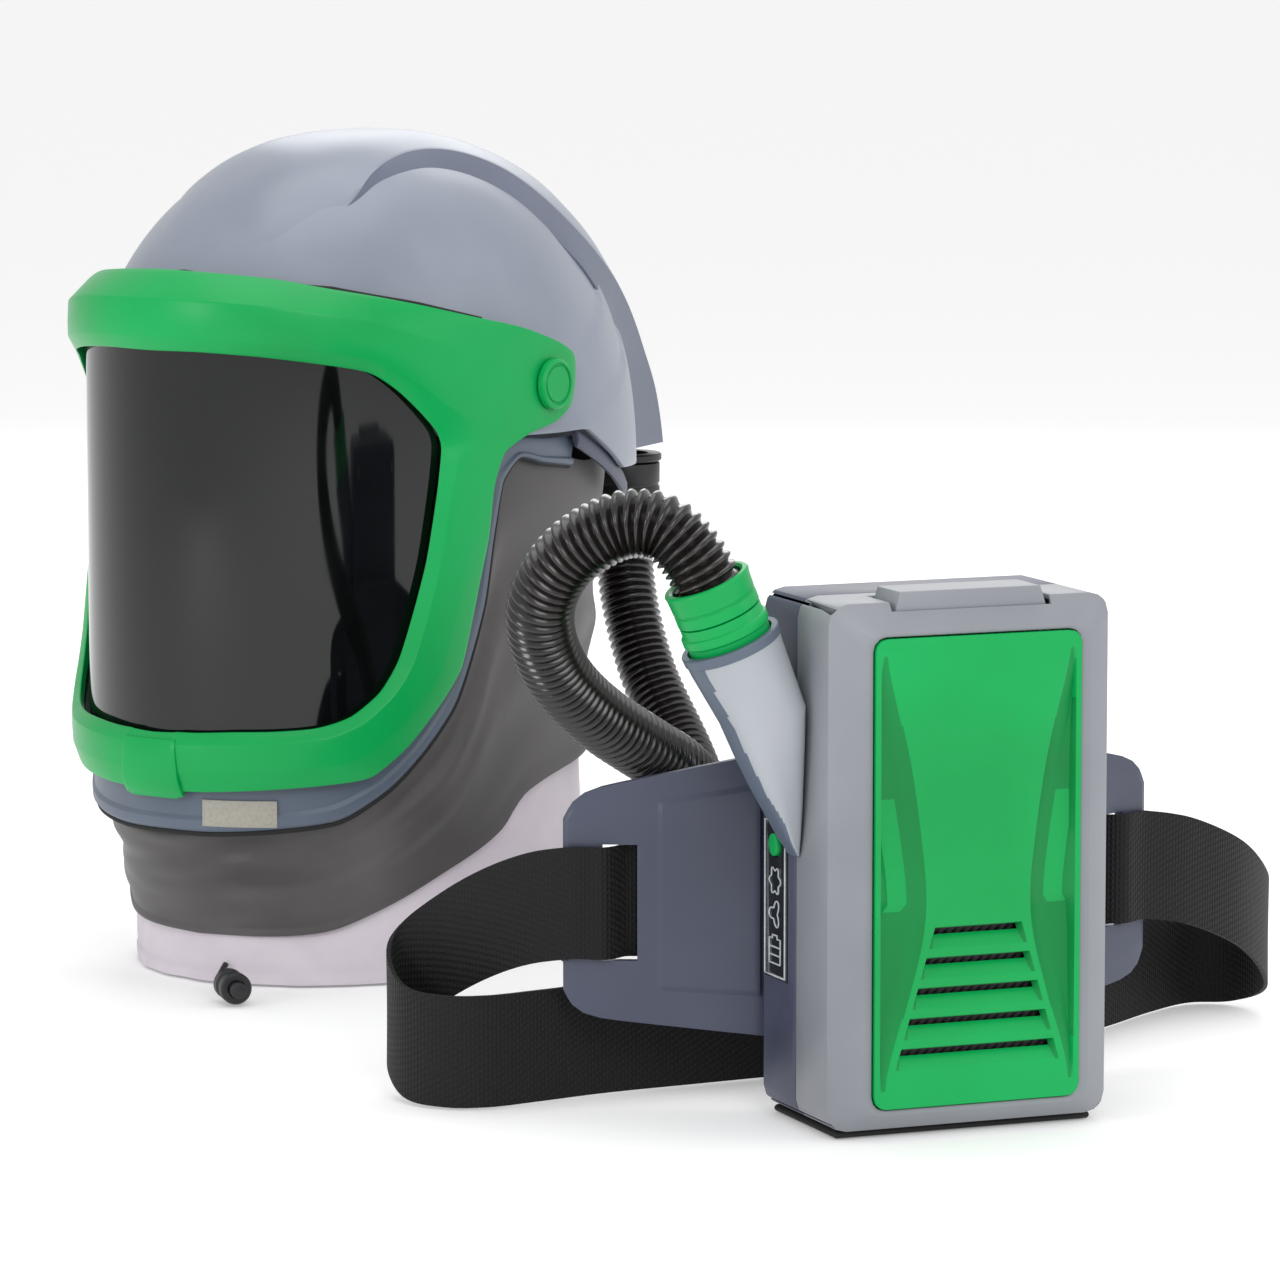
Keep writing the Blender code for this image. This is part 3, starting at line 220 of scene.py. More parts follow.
# %% Moulded plastics
shell_abs = moulded("satin grey ABS shell", ("#7c8391", "#868d9b", "#9197a3"), 0.36, 0.6, 0.03,
                    Coat_Weight=0.12, Coat_Roughness=0.25)
unit_plastic = moulded("fine grained neutral grey plastic", ("#7c7f86", "#85888f", "#8e9197"), 0.42, 0.6, 0.05)
slate_plastic = moulded("satin slate plastic", ("#3c4052", "#44485b", "#4c5163"), 0.44, 0.7, 0.05)
jaw_plastic = moulded("satin slate blue plastic", ("#4b5565", "#556070", "#5f6a79"), 0.42, 0.7, 0.05)
green_plastic = moulded("semi-gloss green plastic", ("#009648", "#00a04f", "#00a957"), 0.36, 0.6, 0.02, ior=1.36)
black_plastic = moulded("grained black plastic", ("#131316", "#18181b", "#1f1f23"), 0.45, 0.7, 0.05)
black_rubber = moulded("matt black rubber", ("#0d0d0e", "#111112", "#161617"), 0.75, 0.9, 0.05)
steel = moulded("turned steel", ("#8d9094", "#9a9da1", "#a8abae"), 0.28, 0.5, 0.02, metal=1.0)
filter_media = moulded("pleated filter fibre", ("#dedcd4", "#e8e6de", "#f0eee7"), 0.95, 1.5, 0.3)
board_mask = moulded("green solder mask", ("#0a3a1e", "#0d4524", "#12532d"), 0.35, 1.2, 0.05)
print("moulded finishes made")

by_slot = {"shell_grey": shell_abs, "unit_grey": unit_plastic, "slate": slate_plastic, "green": green_plastic,
           "black_rubber": black_rubber, "black_plastic": black_plastic, "hose_black": black_plastic,
           "webbing": black_plastic, "steel": steel, "filter_media": filter_media, "board": board_mask, "label": filter_media,
           "smoke_lens": black_plastic, "bib_fabric": black_rubber, "cape_fabric": filter_media}
for part in frame["record"]["subparts"]:
    node = frame["nodes"][part["node"]]
    node.data.materials.clear()
    node.data.materials.append(by_slot[part["material_slot"]])


# %% [markdown]
# Most shapes here start as a Blender grid.  Its points are laid out by a rule, and edit-mode tools
# and modifiers then give it rims, holes, walls and rounded edges.  The first helpers pick and edit.

# %% Helpers for shapes


def nothing_picked():
    """Everything deselected, so that an operator acts only on the piece in hand."""
    if bpy.context.object and bpy.context.object.mode != 'OBJECT':
        bpy.ops.object.mode_set(mode='OBJECT')
    bpy.ops.object.select_all(action='DESELECT')


def hold(ob):
    """Make one piece the only selected and active one."""
    nothing_picked()
    ob.select_set(True)
    bpy.context.view_layer.objects.active = ob
    return ob


def edit(ob, kind, test, *actions):
    """In edit mode, pick the faces or edges whose middle and direction pass a test, then act on them."""
    hold(ob)
    bpy.context.tool_settings.mesh_select_mode = (False, kind == 'EDGE', kind == 'FACE')
    bpy.ops.object.mode_set(mode='EDIT')
    bpy.ops.mesh.select_all(action='DESELECT')
    bpy.ops.object.mode_set(mode='OBJECT')
    mesh = ob.data
    if kind == 'FACE':
        for face in mesh.polygons:
            face.select = bool(test(face.center, face.normal))
    else:
        for edge in mesh.edges:
            a, b = (mesh.vertices[i].co for i in edge.vertices)
            edge.select = bool(test((a + b) / 2, (b - a).normalized()))
    bpy.ops.object.mode_set(mode='EDIT')
    for action in actions:
        action()
    bpy.ops.object.mode_set(mode='OBJECT')
    return ob


def all_of(ob, *actions):
    """In edit mode, act on the whole piece."""
    hold(ob)
    bpy.ops.object.mode_set(mode='EDIT')
    bpy.ops.mesh.select_all(action='SELECT')
    for action in actions:
        action()
    bpy.ops.object.mode_set(mode='OBJECT')
    return ob


def surface(name, across, along, rule, around=False, core=None):
    """A grid whose points are laid out by rule(column, row), joined into a ring when it goes around."""
    nothing_picked()
    bpy.ops.mesh.primitive_grid_add(x_subdivisions=across, y_subdivisions=along, size=1)
    ob = bpy.context.object
    ob.name = name
    for v in ob.data.vertices:
        v.co = rule(round((v.co.x + 0.5) * across), round((v.co.y + 0.5) * along))
    if around:
        all_of(ob, lambda: bpy.ops.mesh.remove_doubles(threshold=0.00002))
    if core is not None:
        middle = Vector(core)
        outward = sum(f.normal.dot(f.center - middle) * f.area for f in ob.data.polygons)
        if outward < 0:
            all_of(ob, lambda: bpy.ops.mesh.flip_normals())
    return ob


def faced_out(ob):
    """Turn every face of a closed piece outwards."""
    return all_of(ob, lambda: bpy.ops.mesh.normals_make_consistent(inside=False))


def ends_closed(ob):
    """Close a tube's open ends."""
    edit(ob, 'EDGE', lambda m, d: False, lambda: bpy.ops.mesh.select_non_manifold(), lambda: bpy.ops.mesh.edge_face_add())
    return faced_out(ob)


def apply_mod(ob, kind, **settings):
    """One modifier, set up and applied."""
    hold(ob)
    mod = ob.modifiers.new(kind.title(), kind)
    for key, value in settings.items():
        setattr(mod, key, value)
    bpy.ops.object.modifier_apply(modifier=mod.name)
    return ob


def walled(ob, thickness, offset=-1.0):
    """Give a surface its wall, in millimetres."""
    return apply_mod(ob, 'SOLIDIFY', thickness=thickness * MM, offset=offset, use_even_offset=False)


def eased(ob, width, angle=30, segments=2, smooth=35):
    """Round every sharp edge a little, then shade smoothly up to an angle."""
    if width:
        apply_mod(ob, 'BEVEL', width=width * MM, segments=segments, limit_method='ANGLE', angle_limit=math.radians(angle),
                  use_clamp_overlap=True, harden_normals=False)
    hold(ob)
    bpy.ops.object.shade_smooth_by_angle(angle=math.radians(smooth))
    return ob


def done(ob, material, body, nodes=(), slot=None, *more):
    """Dress a finished piece, let it ride on its body, and let it stand for its CAD nodes."""
    marks = [face.material_index for face in ob.data.polygons]
    ob.data.materials.clear()
    for mat in (material, *more):
        ob.data.materials.append(mat)
    if more:
        for face, mark in zip(ob.data.polygons, marks):
            face.material_index = mark
    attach(ob, body)
    if nodes:
        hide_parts(*([nodes] if isinstance(nodes, str) else nodes))
    return ob


def reading(table, value):
    """Straight-line reading of a short table of (place, value)."""
    if value <= table[0][0]:
        return table[0][1]
    for (a, fa), (b, fb) in zip(table, table[1:]):
        if value <= b:
            return fa + (fb - fa) * (value - a) / (b - a)
    return table[-1][1]


def curved(table, value):
    """Smooth reading of a short table, through every point of it."""
    pts = [(2 * table[0][0] - table[1][0], 2 * table[0][1] - table[1][1]), *table,
           (2 * table[-1][0] - table[-2][0], 2 * table[-1][1] - table[-2][1])]
    value = min(max(value, table[0][0]), table[-1][0])
    for p, a, b, q in zip(pts, pts[1:], pts[2:], pts[3:]):
        if value <= b[0]:
            break
    t = (value - a[0]) / (b[0] - a[0])
    ma = (b[1] - p[1]) / (b[0] - p[0]) * (b[0] - a[0])
    mb = (q[1] - a[1]) / (q[0] - a[0]) * (b[0] - a[0])
    return ((2 * t ** 3 - 3 * t * t + 1) * a[1] + (t ** 3 - 2 * t * t + t) * ma + (3 * t * t - 2 * t ** 3) * b[1]
            + (t ** 3 - t * t) * mb)


def refined(node, material, width=0.6, slot=None):
    """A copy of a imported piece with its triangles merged, its flat faces joined and its edges rounded."""
    nothing_picked()
    source = frame["nodes"][node]
    ob = bpy.data.objects.new(node + "_finished", source.data.copy())
    scene.collection.objects.link(ob)
    all_of(ob, lambda: bpy.ops.mesh.remove_doubles(threshold=0.00001),
           lambda: bpy.ops.mesh.dissolve_limited(angle_limit=math.radians(1.0)))
    eased(ob, width, smooth=38)
    return done(ob, material, source["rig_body"], node, slot)


def smooth_line(points, step):
    """Points about a step apart on one smooth curve through the given points, in millimetres."""
    pts = [Vector(p) for p in points]
    pts = [pts[0] * 2 - pts[1], *pts, pts[-1] * 2 - pts[-2]]
    fine = []
    for a, b, c, d in zip(pts, pts[1:], pts[2:], pts[3:]):
        for k in range(20):
            t = k / 20
            fine.append(0.5 * ((2 * b) + (c - a) * t + (2 * a - 5 * b + 4 * c - d) * t * t
                               + (3 * b - a - 3 * c + d) * t ** 3))
    fine.append(pts[-2])
    run = [0.0]
    for p, q in zip(fine, fine[1:]):
        run.append(run[-1] + (q - p).length)
    count = max(2, round(run[-1] / step))
    out, k = [], 0
    for i in range(count + 1):
        s = run[-1] * i / count
        while k < len(run) - 2 and run[k + 1] < s:
            k += 1
        t = (s - run[k]) / max(run[k + 1] - run[k], 1e-9)
        out.append(fine[k].lerp(fine[k + 1], min(max(t, 0.0), 1.0)))
    return out


HELMET_AT = Vector((-0.0959, 0.4959, 0.0))
HELMET_TURN = Matrix.Rotation(math.radians(-58), 3, 'Z')


NAPE_X, NAPE_Y = 25, 200          # where the hose plugs in at the nape
RATCHET_AT = Vector((0, 109.3, 303.0))


def on_helmet(p):
    """A point given in the helmet's own millimetres, as a place in the room in metres."""
    return HELMET_TURN @ (Vector(p) * MM) + HELMET_AT


# %% [markdown]
# The breathing hose is a blow-moulded corrugated tube, 30 mm across with a ring about every 4 mm.
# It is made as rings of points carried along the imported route.  The radius swings between crest and
# valley, so the loop shows open rings outside the bend and tight ones inside.

# %% Breathing hose
TILT = math.radians(23)
AXIS = Vector((-math.sin(TILT), 0.0, math.cos(TILT)))
MOUTH = Vector((-97.5, 0.0, 215.0))
hose_start = MOUTH + AXIS * 13.3
socket_low, socket_high = (on_helmet((NAPE_X, NAPE_Y, z)) / MM for z in (200, 217))
hose_route = smooth_line([hose_start, hose_start + AXIS * 16.0, (-119, 4, 258), (-128.5, 10, 264.5), (-140, 18, 264),
                          (-151.5, 27, 257), (-160.5, 37, 246), (-164.5, 49, 229), (-159, 62, 210), (-145, 75, 190),
                          (-124, 87, 172), (-99, 98, 156), (-74, 112, 141), (-54, 132, 121), (-40, 162, 88), (-28, 202, 50),
                          (-12, 248, 24), (14, 300, 16), (48, 360, 15.6), (76, 418, 24), (92, 468, 48), (94, 512, 84),
                          (86, 545, 124), (83, 566, 165), socket_low, socket_high], 15.0)
RING_PITCH, RING_STEPS, HOSE_SIDES = 4.1, 6, 40
hose_length = sum((b - a).length for a, b in zip(hose_route, hose_route[1:]))
ring_count = round(hose_length / RING_PITCH)
centres = smooth_line(hose_route, hose_length / (ring_count * RING_STEPS))
swing = [14.95, 14.55, 13.3, 12.5, 13.3, 14.55]
side = Vector((0, 1, 0))
hose_frames = []
for k, p in enumerate(centres):
    ahead = (centres[min(k + 1, len(centres) - 1)] - centres[max(k - 1, 0)]).normalized()
    side = (side - ahead * side.dot(ahead)).normalized()
    hose_frames.append((p, side.copy(), ahead.cross(side)))


def hose_point(column, row):
    p, right, up = hose_frames[row]
    a = 2 * math.pi * column / HOSE_SIDES
    r = swing[row % RING_STEPS]
    return (p + (right * math.cos(a) + up * math.sin(a)) * r) * MM


hose = surface("corrugated_hose", HOSE_SIDES, len(centres) - 1, hose_point, around=True)
ends_closed(hose)
eased(hose, 0, smooth=60)
print("hose", round(hose_length), "mm long,", ring_count, "rings")

# %% [markdown]
# The hose is soft black polyurethane.  It is glossy enough for a bright line along each crest, and a
# little brown shows in its lights.

# %% Hose finish
hose_pu = moulded("glossy black polyurethane hose", ("#0d0a09", "#151110", "#1e1715"), 0.24, 1.2, 0.06, Coat_Weight=0.3,
                  Coat_Roughness=0.15)
done(hose, hose_pu, "respirator", "breathing_hose", "hose_black")

# %% [markdown]
# The belt is 50 mm polypropylene webbing.  Each side is one strip that stands on edge, threads
# through a slot in the back plate and meets at the buckle.  It is laid out directly along its route,
# and a UV map in real millimetres carries the weave.

# %% Webbing belt


def plate_front(x):
    """The front face of the belt plate at a distance from the middle."""
    s = max(0.0, (abs(x) - 48.0) / 94.0)
    return 43.5 + 38.0 * s ** 1.3


def slot_route(side):
    """From behind the plate, through the slot and over the wing's front."""
    back, front = 8.5, -2.9
    offsets = ((98, back), (107, back), (115, back - 0.6), (125, front + 0.6), (132, front), (140, front))
    return [(side * x, plate_front(x) + off, 91.0) for x, off in offsets]


LYING = 25.6                       # the middle of a strip that stands on the floor on its edge
left_route = slot_route(-1) + [(-156, 92, 87), (-172, 110, 77), (-187, 130, 62), (-199, 139, 49), (-206, 131, 38),
                               (-205, 113, 27.6), (-194, 96, LYING), (-176, 88, LYING), (-150, 92, LYING),
                               (-115, 99, LYING), (-70, 103, LYING), (-32, 106, LYING)]
right_route = slot_route(1) + [(168, 86, 85), (202, 103, 70), (230, 132, 50), (246, 165, 35), (243, 190, 26.6),
                               (224, 199, LYING), (196, 184, LYING), (160, 158, LYING), (118, 132, LYING),
                               (76, 115, LYING), (36, 109.5, LYING)]


def webbing_strip(name, route):
    """A strip on edge along a route, 50 mm wide, with thick woven edges and UVs in metres."""
    line = smooth_line(smooth_line(route, 6.5), 2.2)
    heights = [-24.9, -24.3, -23.2, -22, -15, -8, 0, 8, 15, 22, 23.2, 24.3, 24.9]

    def lay(column, row):
        ahead = line[min(column + 1, len(line) - 1)] - line[max(column - 1, 0)]
        flat = Vector((-ahead.y, ahead.x, 0.0)).normalized()
        return (line[column] + Vector((0, 0, heights[row])) + flat * 0.12 * math.cos(heights[row] * 0.1)) * MM

    ob = surface(name, len(line) - 1, len(heights) - 1, lay)
    uv = ob.data.uv_layers.active.data
    length = sum((b - a).length for a, b in zip(line, line[1:]))
    for spot in uv:
        spot.uv = (spot.uv[0] * length * MM, heights[round(spot.uv[1] * (len(heights) - 1))] * MM)
    return walled(ob, 1.9, 0.0), length


webs = []
for word, route in (("left", left_route), ("right", right_route)):
    web, length = webbing_strip("belt_webbing_" + word, route)
    webs.append(web)
    print("webbing", word, round(length), "mm")

# %% [markdown]
# Heavy webbing is woven in a twill: yarns about 1.2 mm wide run in slanting ribs, and the light
# catches each rib.  Two crossed waves on the UV map give the ribs and the picks between them.

# %% Webbing finish
WAVE_MM = 314.16  # a wave texture's scale for one millimetre from rib to rib, on coordinates in metres
webbing_mat = plain("black polypropylene webbing", "#0b0b0e", 0.66, ior=1.38, Sheen_Weight=0.04, Sheen_Roughness=0.5)
tree = webbing_mat.node_tree
uv = add(tree, 'ShaderNodeUVMap').outputs[0]
turned_uv = add(tree, 'ShaderNodeMapping', {"Rotation": (0, 0, math.radians(62))}, Vector=uv).outputs[0]
ribs = add(tree, 'ShaderNodeTexWave', {"bands_direction": 'X', "Scale": WAVE_MM / 2.6, "Distortion": 0.6,
                                       "Detail": 1.0, "Detail Scale": 2.0}, Vector=turned_uv)
picks = add(tree, 'ShaderNodeTexWave', {"bands_direction": 'X', "Scale": WAVE_MM / 1.9, "Distortion": 0.3}, Vector=uv)
both = add(tree, 'ShaderNodeMath', {"operation": 'MULTIPLY'}, n0=ribs.outputs["Fac"], n1=picks.outputs["Fac"]).outputs[0]
tint = add(tree, 'ShaderNodeValToRGB', {"stops": ((0.0, "#020203"), (0.35, "#060608"), (1.0, "#14141a"))}, Fac=both)
feed(webbing_mat, Base_Color=tint.outputs["Color"],
     Normal=add(tree, 'ShaderNodeBump', {"Strength": 0.8, "Distance": 0.0005}, Height=both).outputs[0])
for web, node in zip(webs, ("belt_strap_left", "belt_strap_right")):
    eased(web, 0, smooth=60)
    done(web, webbing_mat, "respirator", node, "webbing")

# %% [markdown]
# The crown is one injection-moulded dome of a rounded, slightly boxy section.  A ring of points is
# laid on that form row by row, and the rear quarter is stepped outwards twice.  The steps are the
# moulded lower band and the shoulder that meets the air channel.

# %% Crown shell
CROWN_Z0, CROWN_RISE, FULL = 236.0, 168.0, 2.3   # the dome's foot, its height and how boxy it is
CROWN_SIDE, CROWN_FRONT, CROWN_REAR = 118.0, 150.0, 175.0
DOME_COLUMNS, DOME_ROWS = 200, 70
RIM_LINE = [(0, 322), (60, 310), (72, 292), (82, 266), (104, 264), (120, 241), (150, 237), (180, 237)]
SHOULDER = [(90, 290), (98, 297), (106, 302), (114, 309), (124, 320), (136, 333), (180, 345)]
LOW_BAND = [(90, 262), (98, 268), (111, 277), (129, 290), (140, 305), (155, 316), (180, 322)]


def ease(t):
    t = min(max(t, 0.0), 1.0)
    return t * t * (3 - 2 * t)


def dome(ang, z, off=0.0):
    """A point on the dome at an angle round the head and a height, in helmet millimetres."""
    zeta = min(max((z - CROWN_Z0) / CROWN_RISE, 0.0), 1.0)
    rho = (1.0 - zeta ** FULL) ** (1.0 / FULL)
    a = math.radians(ang)
    b = CROWN_FRONT if math.cos(a) > 0 else CROWN_REAR
    p = Vector((CROWN_SIDE * rho * math.sin(a), -b * rho * math.cos(a), z))
    return p + (p - Vector((0.0, 0.0, CROWN_Z0 - 1.0))).normalized() * off


def dome_point(column, row):
    ang = -180 + 360 * column / DOME_COLUMNS
    low = max((reading(RIM_LINE, abs(ang)) - CROWN_Z0) / CROWN_RISE, 0.001)
    e0 = math.asin(low ** (FULL / 2))
    e = e0 + (math.radians(89.2) - e0) * (row / DOME_ROWS) ** 1.1
    z = CROWN_Z0 + CROWN_RISE * math.sin(e) ** (2 / FULL)
    rear = ease((abs(ang) - 94) / 10)
    step = 2.4 * ease((reading(SHOULDER, abs(ang)) - z) / 3.2) + 1.8 * ease((reading(LOW_BAND, abs(ang)) - z) / 3.0)
    return on_helmet(dome(ang, z, step * rear))


crown = surface("crown_dome", DOME_COLUMNS, DOME_ROWS, dome_point, around=True, core=on_helmet((0, 0, CROWN_Z0)))
edit(crown, 'EDGE', lambda m, d: m.z > 0.40395, lambda: bpy.ops.mesh.edge_face_add())
walled(crown, 3.0)
eased(crown, 0.8, angle=60, smooth=34)
done(crown, shell_abs, "respirator", "crown_shell", "shell_grey")
print("crown", len(crown.data.polygons), "faces")

# %% [markdown]
# A raised air channel runs from a sharp point above the brow, over the top of the head, down to the
# nape, where the hose plugs in.  Its crest and its foot are columns of the grid, so the crease stays
# sharp while the roof stays smooth.  The steep side wall gets a darker grey: painted shade, because it faces away from
# the light.

# %% Air channel


def ray_on_dome(x, lean, off):
    """The dome's surface in the plane that leans back from upright, x to the side, raised by off."""
    u = (math.sin(lean), math.cos(lean))
    lo, hi = 0.0, 400.0
    for _ in range(30):
        k = (lo + hi) / 2
        y, h = k * u[0], k * u[1]
        rho = math.hypot(x / CROWN_SIDE, y / (CROWN_REAR if y > 0 else CROWN_FRONT))
        lo, hi = (k, hi) if rho ** FULL + (max(h, 0.0) / CROWN_RISE) ** FULL < 1 else (lo, k)
    return Vector((x, (lo + off) * u[0], CROWN_Z0 + (lo + off) * u[1]))


CREST = [(-50, 30), (-36, 46), (-23, 52.5), (-14, 48.5), (-8, 46.0), (2, 43.5), (10, 45.5), (20, 53), (28, 62), (37, 68),
         (50, 67), (62, 60), (75, 52), (89.5, 46)]
CREST_H = [(-50, -1.4), (-36, -1.1), (-26, -0.6), (-21.5, 1.2), (-14, 3.0), (-8, 4.0), (2, 5.2), (10, 6.2), (20, 7.2),
           (37, 9.0), (50, 13), (62, 20), (72, 28), (80, 37), (89.5, 45)]
FOOT = [(-50, 0.6), (-25, 0.6), (-21, 1.2), (-14, 3.6), (-8, 6.0), (2, 8.5), (10, 10.5), (20, 12), (37, 11), (60, 10),
        (89.5, 9)]
ROOF = [(-50, -1.2), (-42, -0.5), (-32, 0.4), (-23, 1.6), (-16, 3.2), (-8, 4.8), (3, 6.3), (14, 7.5), (25, 8.5), (36, 10),
        (46, 12), (55, 15), (64, 19), (72, 25), (79, 31), (85, 42), (89.5, 51)]
SHARE = [-1.0, -0.96, -0.8, -0.62, -0.44, -0.22, 0.0, 0.22, 0.44, 0.62, 0.8, 0.96, 1.0]
CHANNEL_START, CHANNEL_SPAN, CHANNEL_ROWS = -50, 138.4, 110      # in degrees of lean, from the brow to the nape
LAST_COLUMN = len(SHARE) + 3


def channel_point(column, row):
    """Two columns of side wall, the roof from crest to crest, and two columns of side wall again."""
    lean = CHANNEL_START + CHANNEL_SPAN * row / CHANNEL_ROWS
    tilt = math.radians(lean)
    crest, foot, edge = curved(CREST, lean), curved(FOOT, lean), curved(CREST_H, lean)
    sign = -1 if column < 2 else 1
    clear = ease((lean - 28) / 14)     # the rear foot stands clear of the crown's shoulder
    if column in (0, LAST_COLUMN):
        return on_helmet(ray_on_dome((crest + foot) * sign, tilt, min(-0.3, edge) + 2.3 * clear))
    if column in (1, LAST_COLUMN - 1):
        return on_helmet(ray_on_dome((crest + foot * 0.42) * sign, tilt, min(edge, 0.4 + 0.2 * edge) + 1.6 * clear))
    x = crest * SHARE[column - 2]
    middle = ray_on_dome(0.0, tilt, curved(ROOF, lean))
    side_high = ray_on_dome(math.copysign(crest, x), tilt, edge)
    bow = 1 - (abs(x) / crest) ** 2.6
    return on_helmet((x, side_high.y + (middle.y - side_high.y) * bow, side_high.z + (middle.z - side_high.z) * bow))


channel = surface("air_channel", LAST_COLUMN, CHANNEL_ROWS, channel_point, core=on_helmet((0, 0, 200)))
# The four side wall columns take material 1, a darker grey that is painted shade on the wall turned away from the
# light.
for face in channel.data.polygons:
    face.material_index = 1 if face.index % LAST_COLUMN in (0, 1, LAST_COLUMN - 2, LAST_COLUMN - 1) else 0
walled(channel, 2.4)
eased(channel, 0.5, angle=34, smooth=30)
# Painted shade: the shell's grey ABS made darker, so the channel's side wall looks shadowed.
painted_wall_shade = moulded("grey ABS channel side wall with painted shade", ("#585f72", "#62697b", "#6b7283"), 0.4, 0.6, 0.03)
done(channel, shell_abs, "respirator", "rear_duct_cover", "shell_grey", painted_wall_shade)

# %% [markdown]
# The visor frame is one thick moulded ring that follows the face.  Its outer and inner edges are
# matched points round the opening, and rows between them give the chamfered brow, the flat band and
# the bevelled lip at the window.

# %% Visor frame
VIS_A, VIS_B = 122.5, 154.5        # half the width, and the depth, of the oval that the visor follows
FRAME_EDGE = [((0, 349), (0, 311)), ((15, 348), (14, 311)), ((30, 345.5), (28, 309)), ((42, 341), (40, 305.5)),
              ((52, 337), (50, 301)), ((62, 332), (56, 292)), ((72, 326), (60.5, 282)), ((84, 319), (63.6, 274)),
              ((95, 310), (64.8, 270)), ((100.4, 303), (65.1, 268)), ((101, 292), (65.4, 266)), ((99.5, 279), (65.5, 264)),
              ((94, 271.5), (65.5, 262)), ((86, 267), (65.4, 258)), ((79.5, 259), (64.8, 246)), ((77, 243), (63.8, 231)),
              ((76, 217), (62.0, 208)),
              ((73, 185), (59, 183)), ((70, 157), (56, 162)), ((66, 142), (52, 147)), ((58, 120), (46, 136)),
              ((50, 106), (39, 131)), ((40, 103), (30, 129.5)), ((27, 101), (21, 129)), ((14, 99.5), (12, 128)),
              ((8.4, 99), (6.8, 127.8)), ((7, 95.5), (6, 127.5)), ((0, 95.5), (0, 127))]


def on_visor(ang, z, off=0.0):
    """A point on the visor's oval wall, in helmet millimetres, moved outwards by off."""
    a = math.radians(ang)
    return Vector(((VIS_A + off) * math.sin(a), -(VIS_B + off) * math.cos(a), z))


def loop_through(pairs, steps, closed=True):
    """Matched edge points, made finer along smooth curves through them, each edge on its own."""
    count = len(pairs)

    def path(points):
        out = []
        for k in range(count if closed else count - 1):
            a, b = Vector(points[k]), Vector(points[(k + 1) % count])
            p = Vector(points[k - 1]) if closed or k else a * 2 - b
            q = Vector(points[(k + 2) % count]) if closed or k + 2 < count else b * 2 - a
            la, lb, lc = max((a - p).length, 0.5), max((b - a).length, 0.5), max((q - b).length, 0.5)
            ma = (b - p) / (la + lb) * min(la, lb) * 0.8
            mb = (q - a) / (lb + lc) * min(lb, lc) * 0.8
            for j in range(steps):
                t = j / steps
                out.append(a * (2 * t ** 3 - 3 * t * t + 1) + ma * (t ** 3 - 2 * t * t + t) + b * (3 * t * t - 2 * t ** 3)
                           + mb * (t ** 3 - t * t))
        return out if closed else out + [Vector(points[-1])]
    return [(*o, *i) for o, i in zip(path([o for o, _ in pairs]), path([i for _, i in pairs]))]


def brow_lean(z):
    """How far the frame's top edge leans in over the brow."""
    return -reading([(0, 4.0), (200, 3.0), (250, 0.1), (320, 0.1), (327, 2.0), (341, 12.0), (349, 17.0)], z)


frame_loop = loop_through(FRAME_EDGE + [((-o[0], o[1]), (-i[0], i[1])) for o, i in reversed(FRAME_EDGE[1:-1])], 5)
# share of the way from the outer to the inner edge, share of the lean, distance outwards
FRAME_ROWS = [(0.0, 1.0, 0.0), (0.05, 0.82, 0.0), (0.33, 0.02, 0.0), (0.36, 0.0, 0.0), (0.6, 0.0, 0.4), (0.80, 0.0, 0.3),
              (0.83, 0.0, -0.2), (0.985, 0.0, -3.2), (1.0, 0.0, -3.9)]


def frame_point(column, row):
    share, lean, off = FRAME_ROWS[row]
    v = frame_loop[column % len(frame_loop)]
    ang, z = v[0] + (v[2] - v[0]) * share, v[1] + (v[3] - v[1]) * share
    return on_helmet(on_visor(ang, z, brow_lean(v[1]) * lean + off))


frame_ring = surface("visor_frame", len(frame_loop), len(FRAME_ROWS) - 1, frame_point, around=True,
                     core=on_helmet((0, 0, 220)))
walled(frame_ring, 3.5)
eased(frame_ring, 0.7, angle=28, smooth=26)
done(frame_ring, green_plastic, "visor", "visor_bezel", "green")
print("visor frame", len(frame_loop), "stations")

# %% [markdown]
# The chin tab is a raised, slightly tapered grip that the wearer lifts to open the visor.  It is a
# small patch of the same surface, raised, given a wall and its edges rounded.

# %% Chin tab
TAB_LIFT = [(0, -3.2), (1, -0.6), (2, 1.3), (5, 1.3), (6, 0.2)]


def tab_point(column, row):
    return on_helmet(on_visor((column / 6 - 1) * (8.6 - 1.1 * row / 6), 96.0 + 28.5 * row / 6, reading(TAB_LIFT, row)))


tab = surface("chin_tab", 12, 6, tab_point, core=on_helmet((0, 0, 110)))
walled(tab, 3.4)
eased(tab, 0.8, smooth=30)
done(tab, green_plastic, "visor")

# %% [markdown]
# Caps, cuffs and knobs are round.  Each is a profile carried once about an axis.

# %% Helpers for turned pieces


def turned(name, profile, at, axis, sides=64):
    """A ring or knob turned about an axis; the profile is (radius, distance) in millimetres."""
    place = Matrix.Translation(Vector(at)) @ Vector(axis).to_track_quat('Z', 'Y').to_matrix().to_4x4()

    def lay(column, row):
        a = 2 * math.pi * column / sides
        r, h = profile[row]
        return (place @ Vector((r * math.cos(a), r * math.sin(a), h))) * MM

    return faced_out(surface(name, sides, len(profile) - 1, lay, around=True))


def helmet_turned(name, profile, at, axis, sides=64):
    """A turned piece whose place and axis are given in the helmet's own millimetres."""
    return turned(name, profile, on_helmet(at) / MM, HELMET_TURN @ Vector(axis), sides)


# %% [markdown]
# Each side of the visor swings on a pin under a round cap.  The cap is turned, with a shallow groove
# inside its rim.

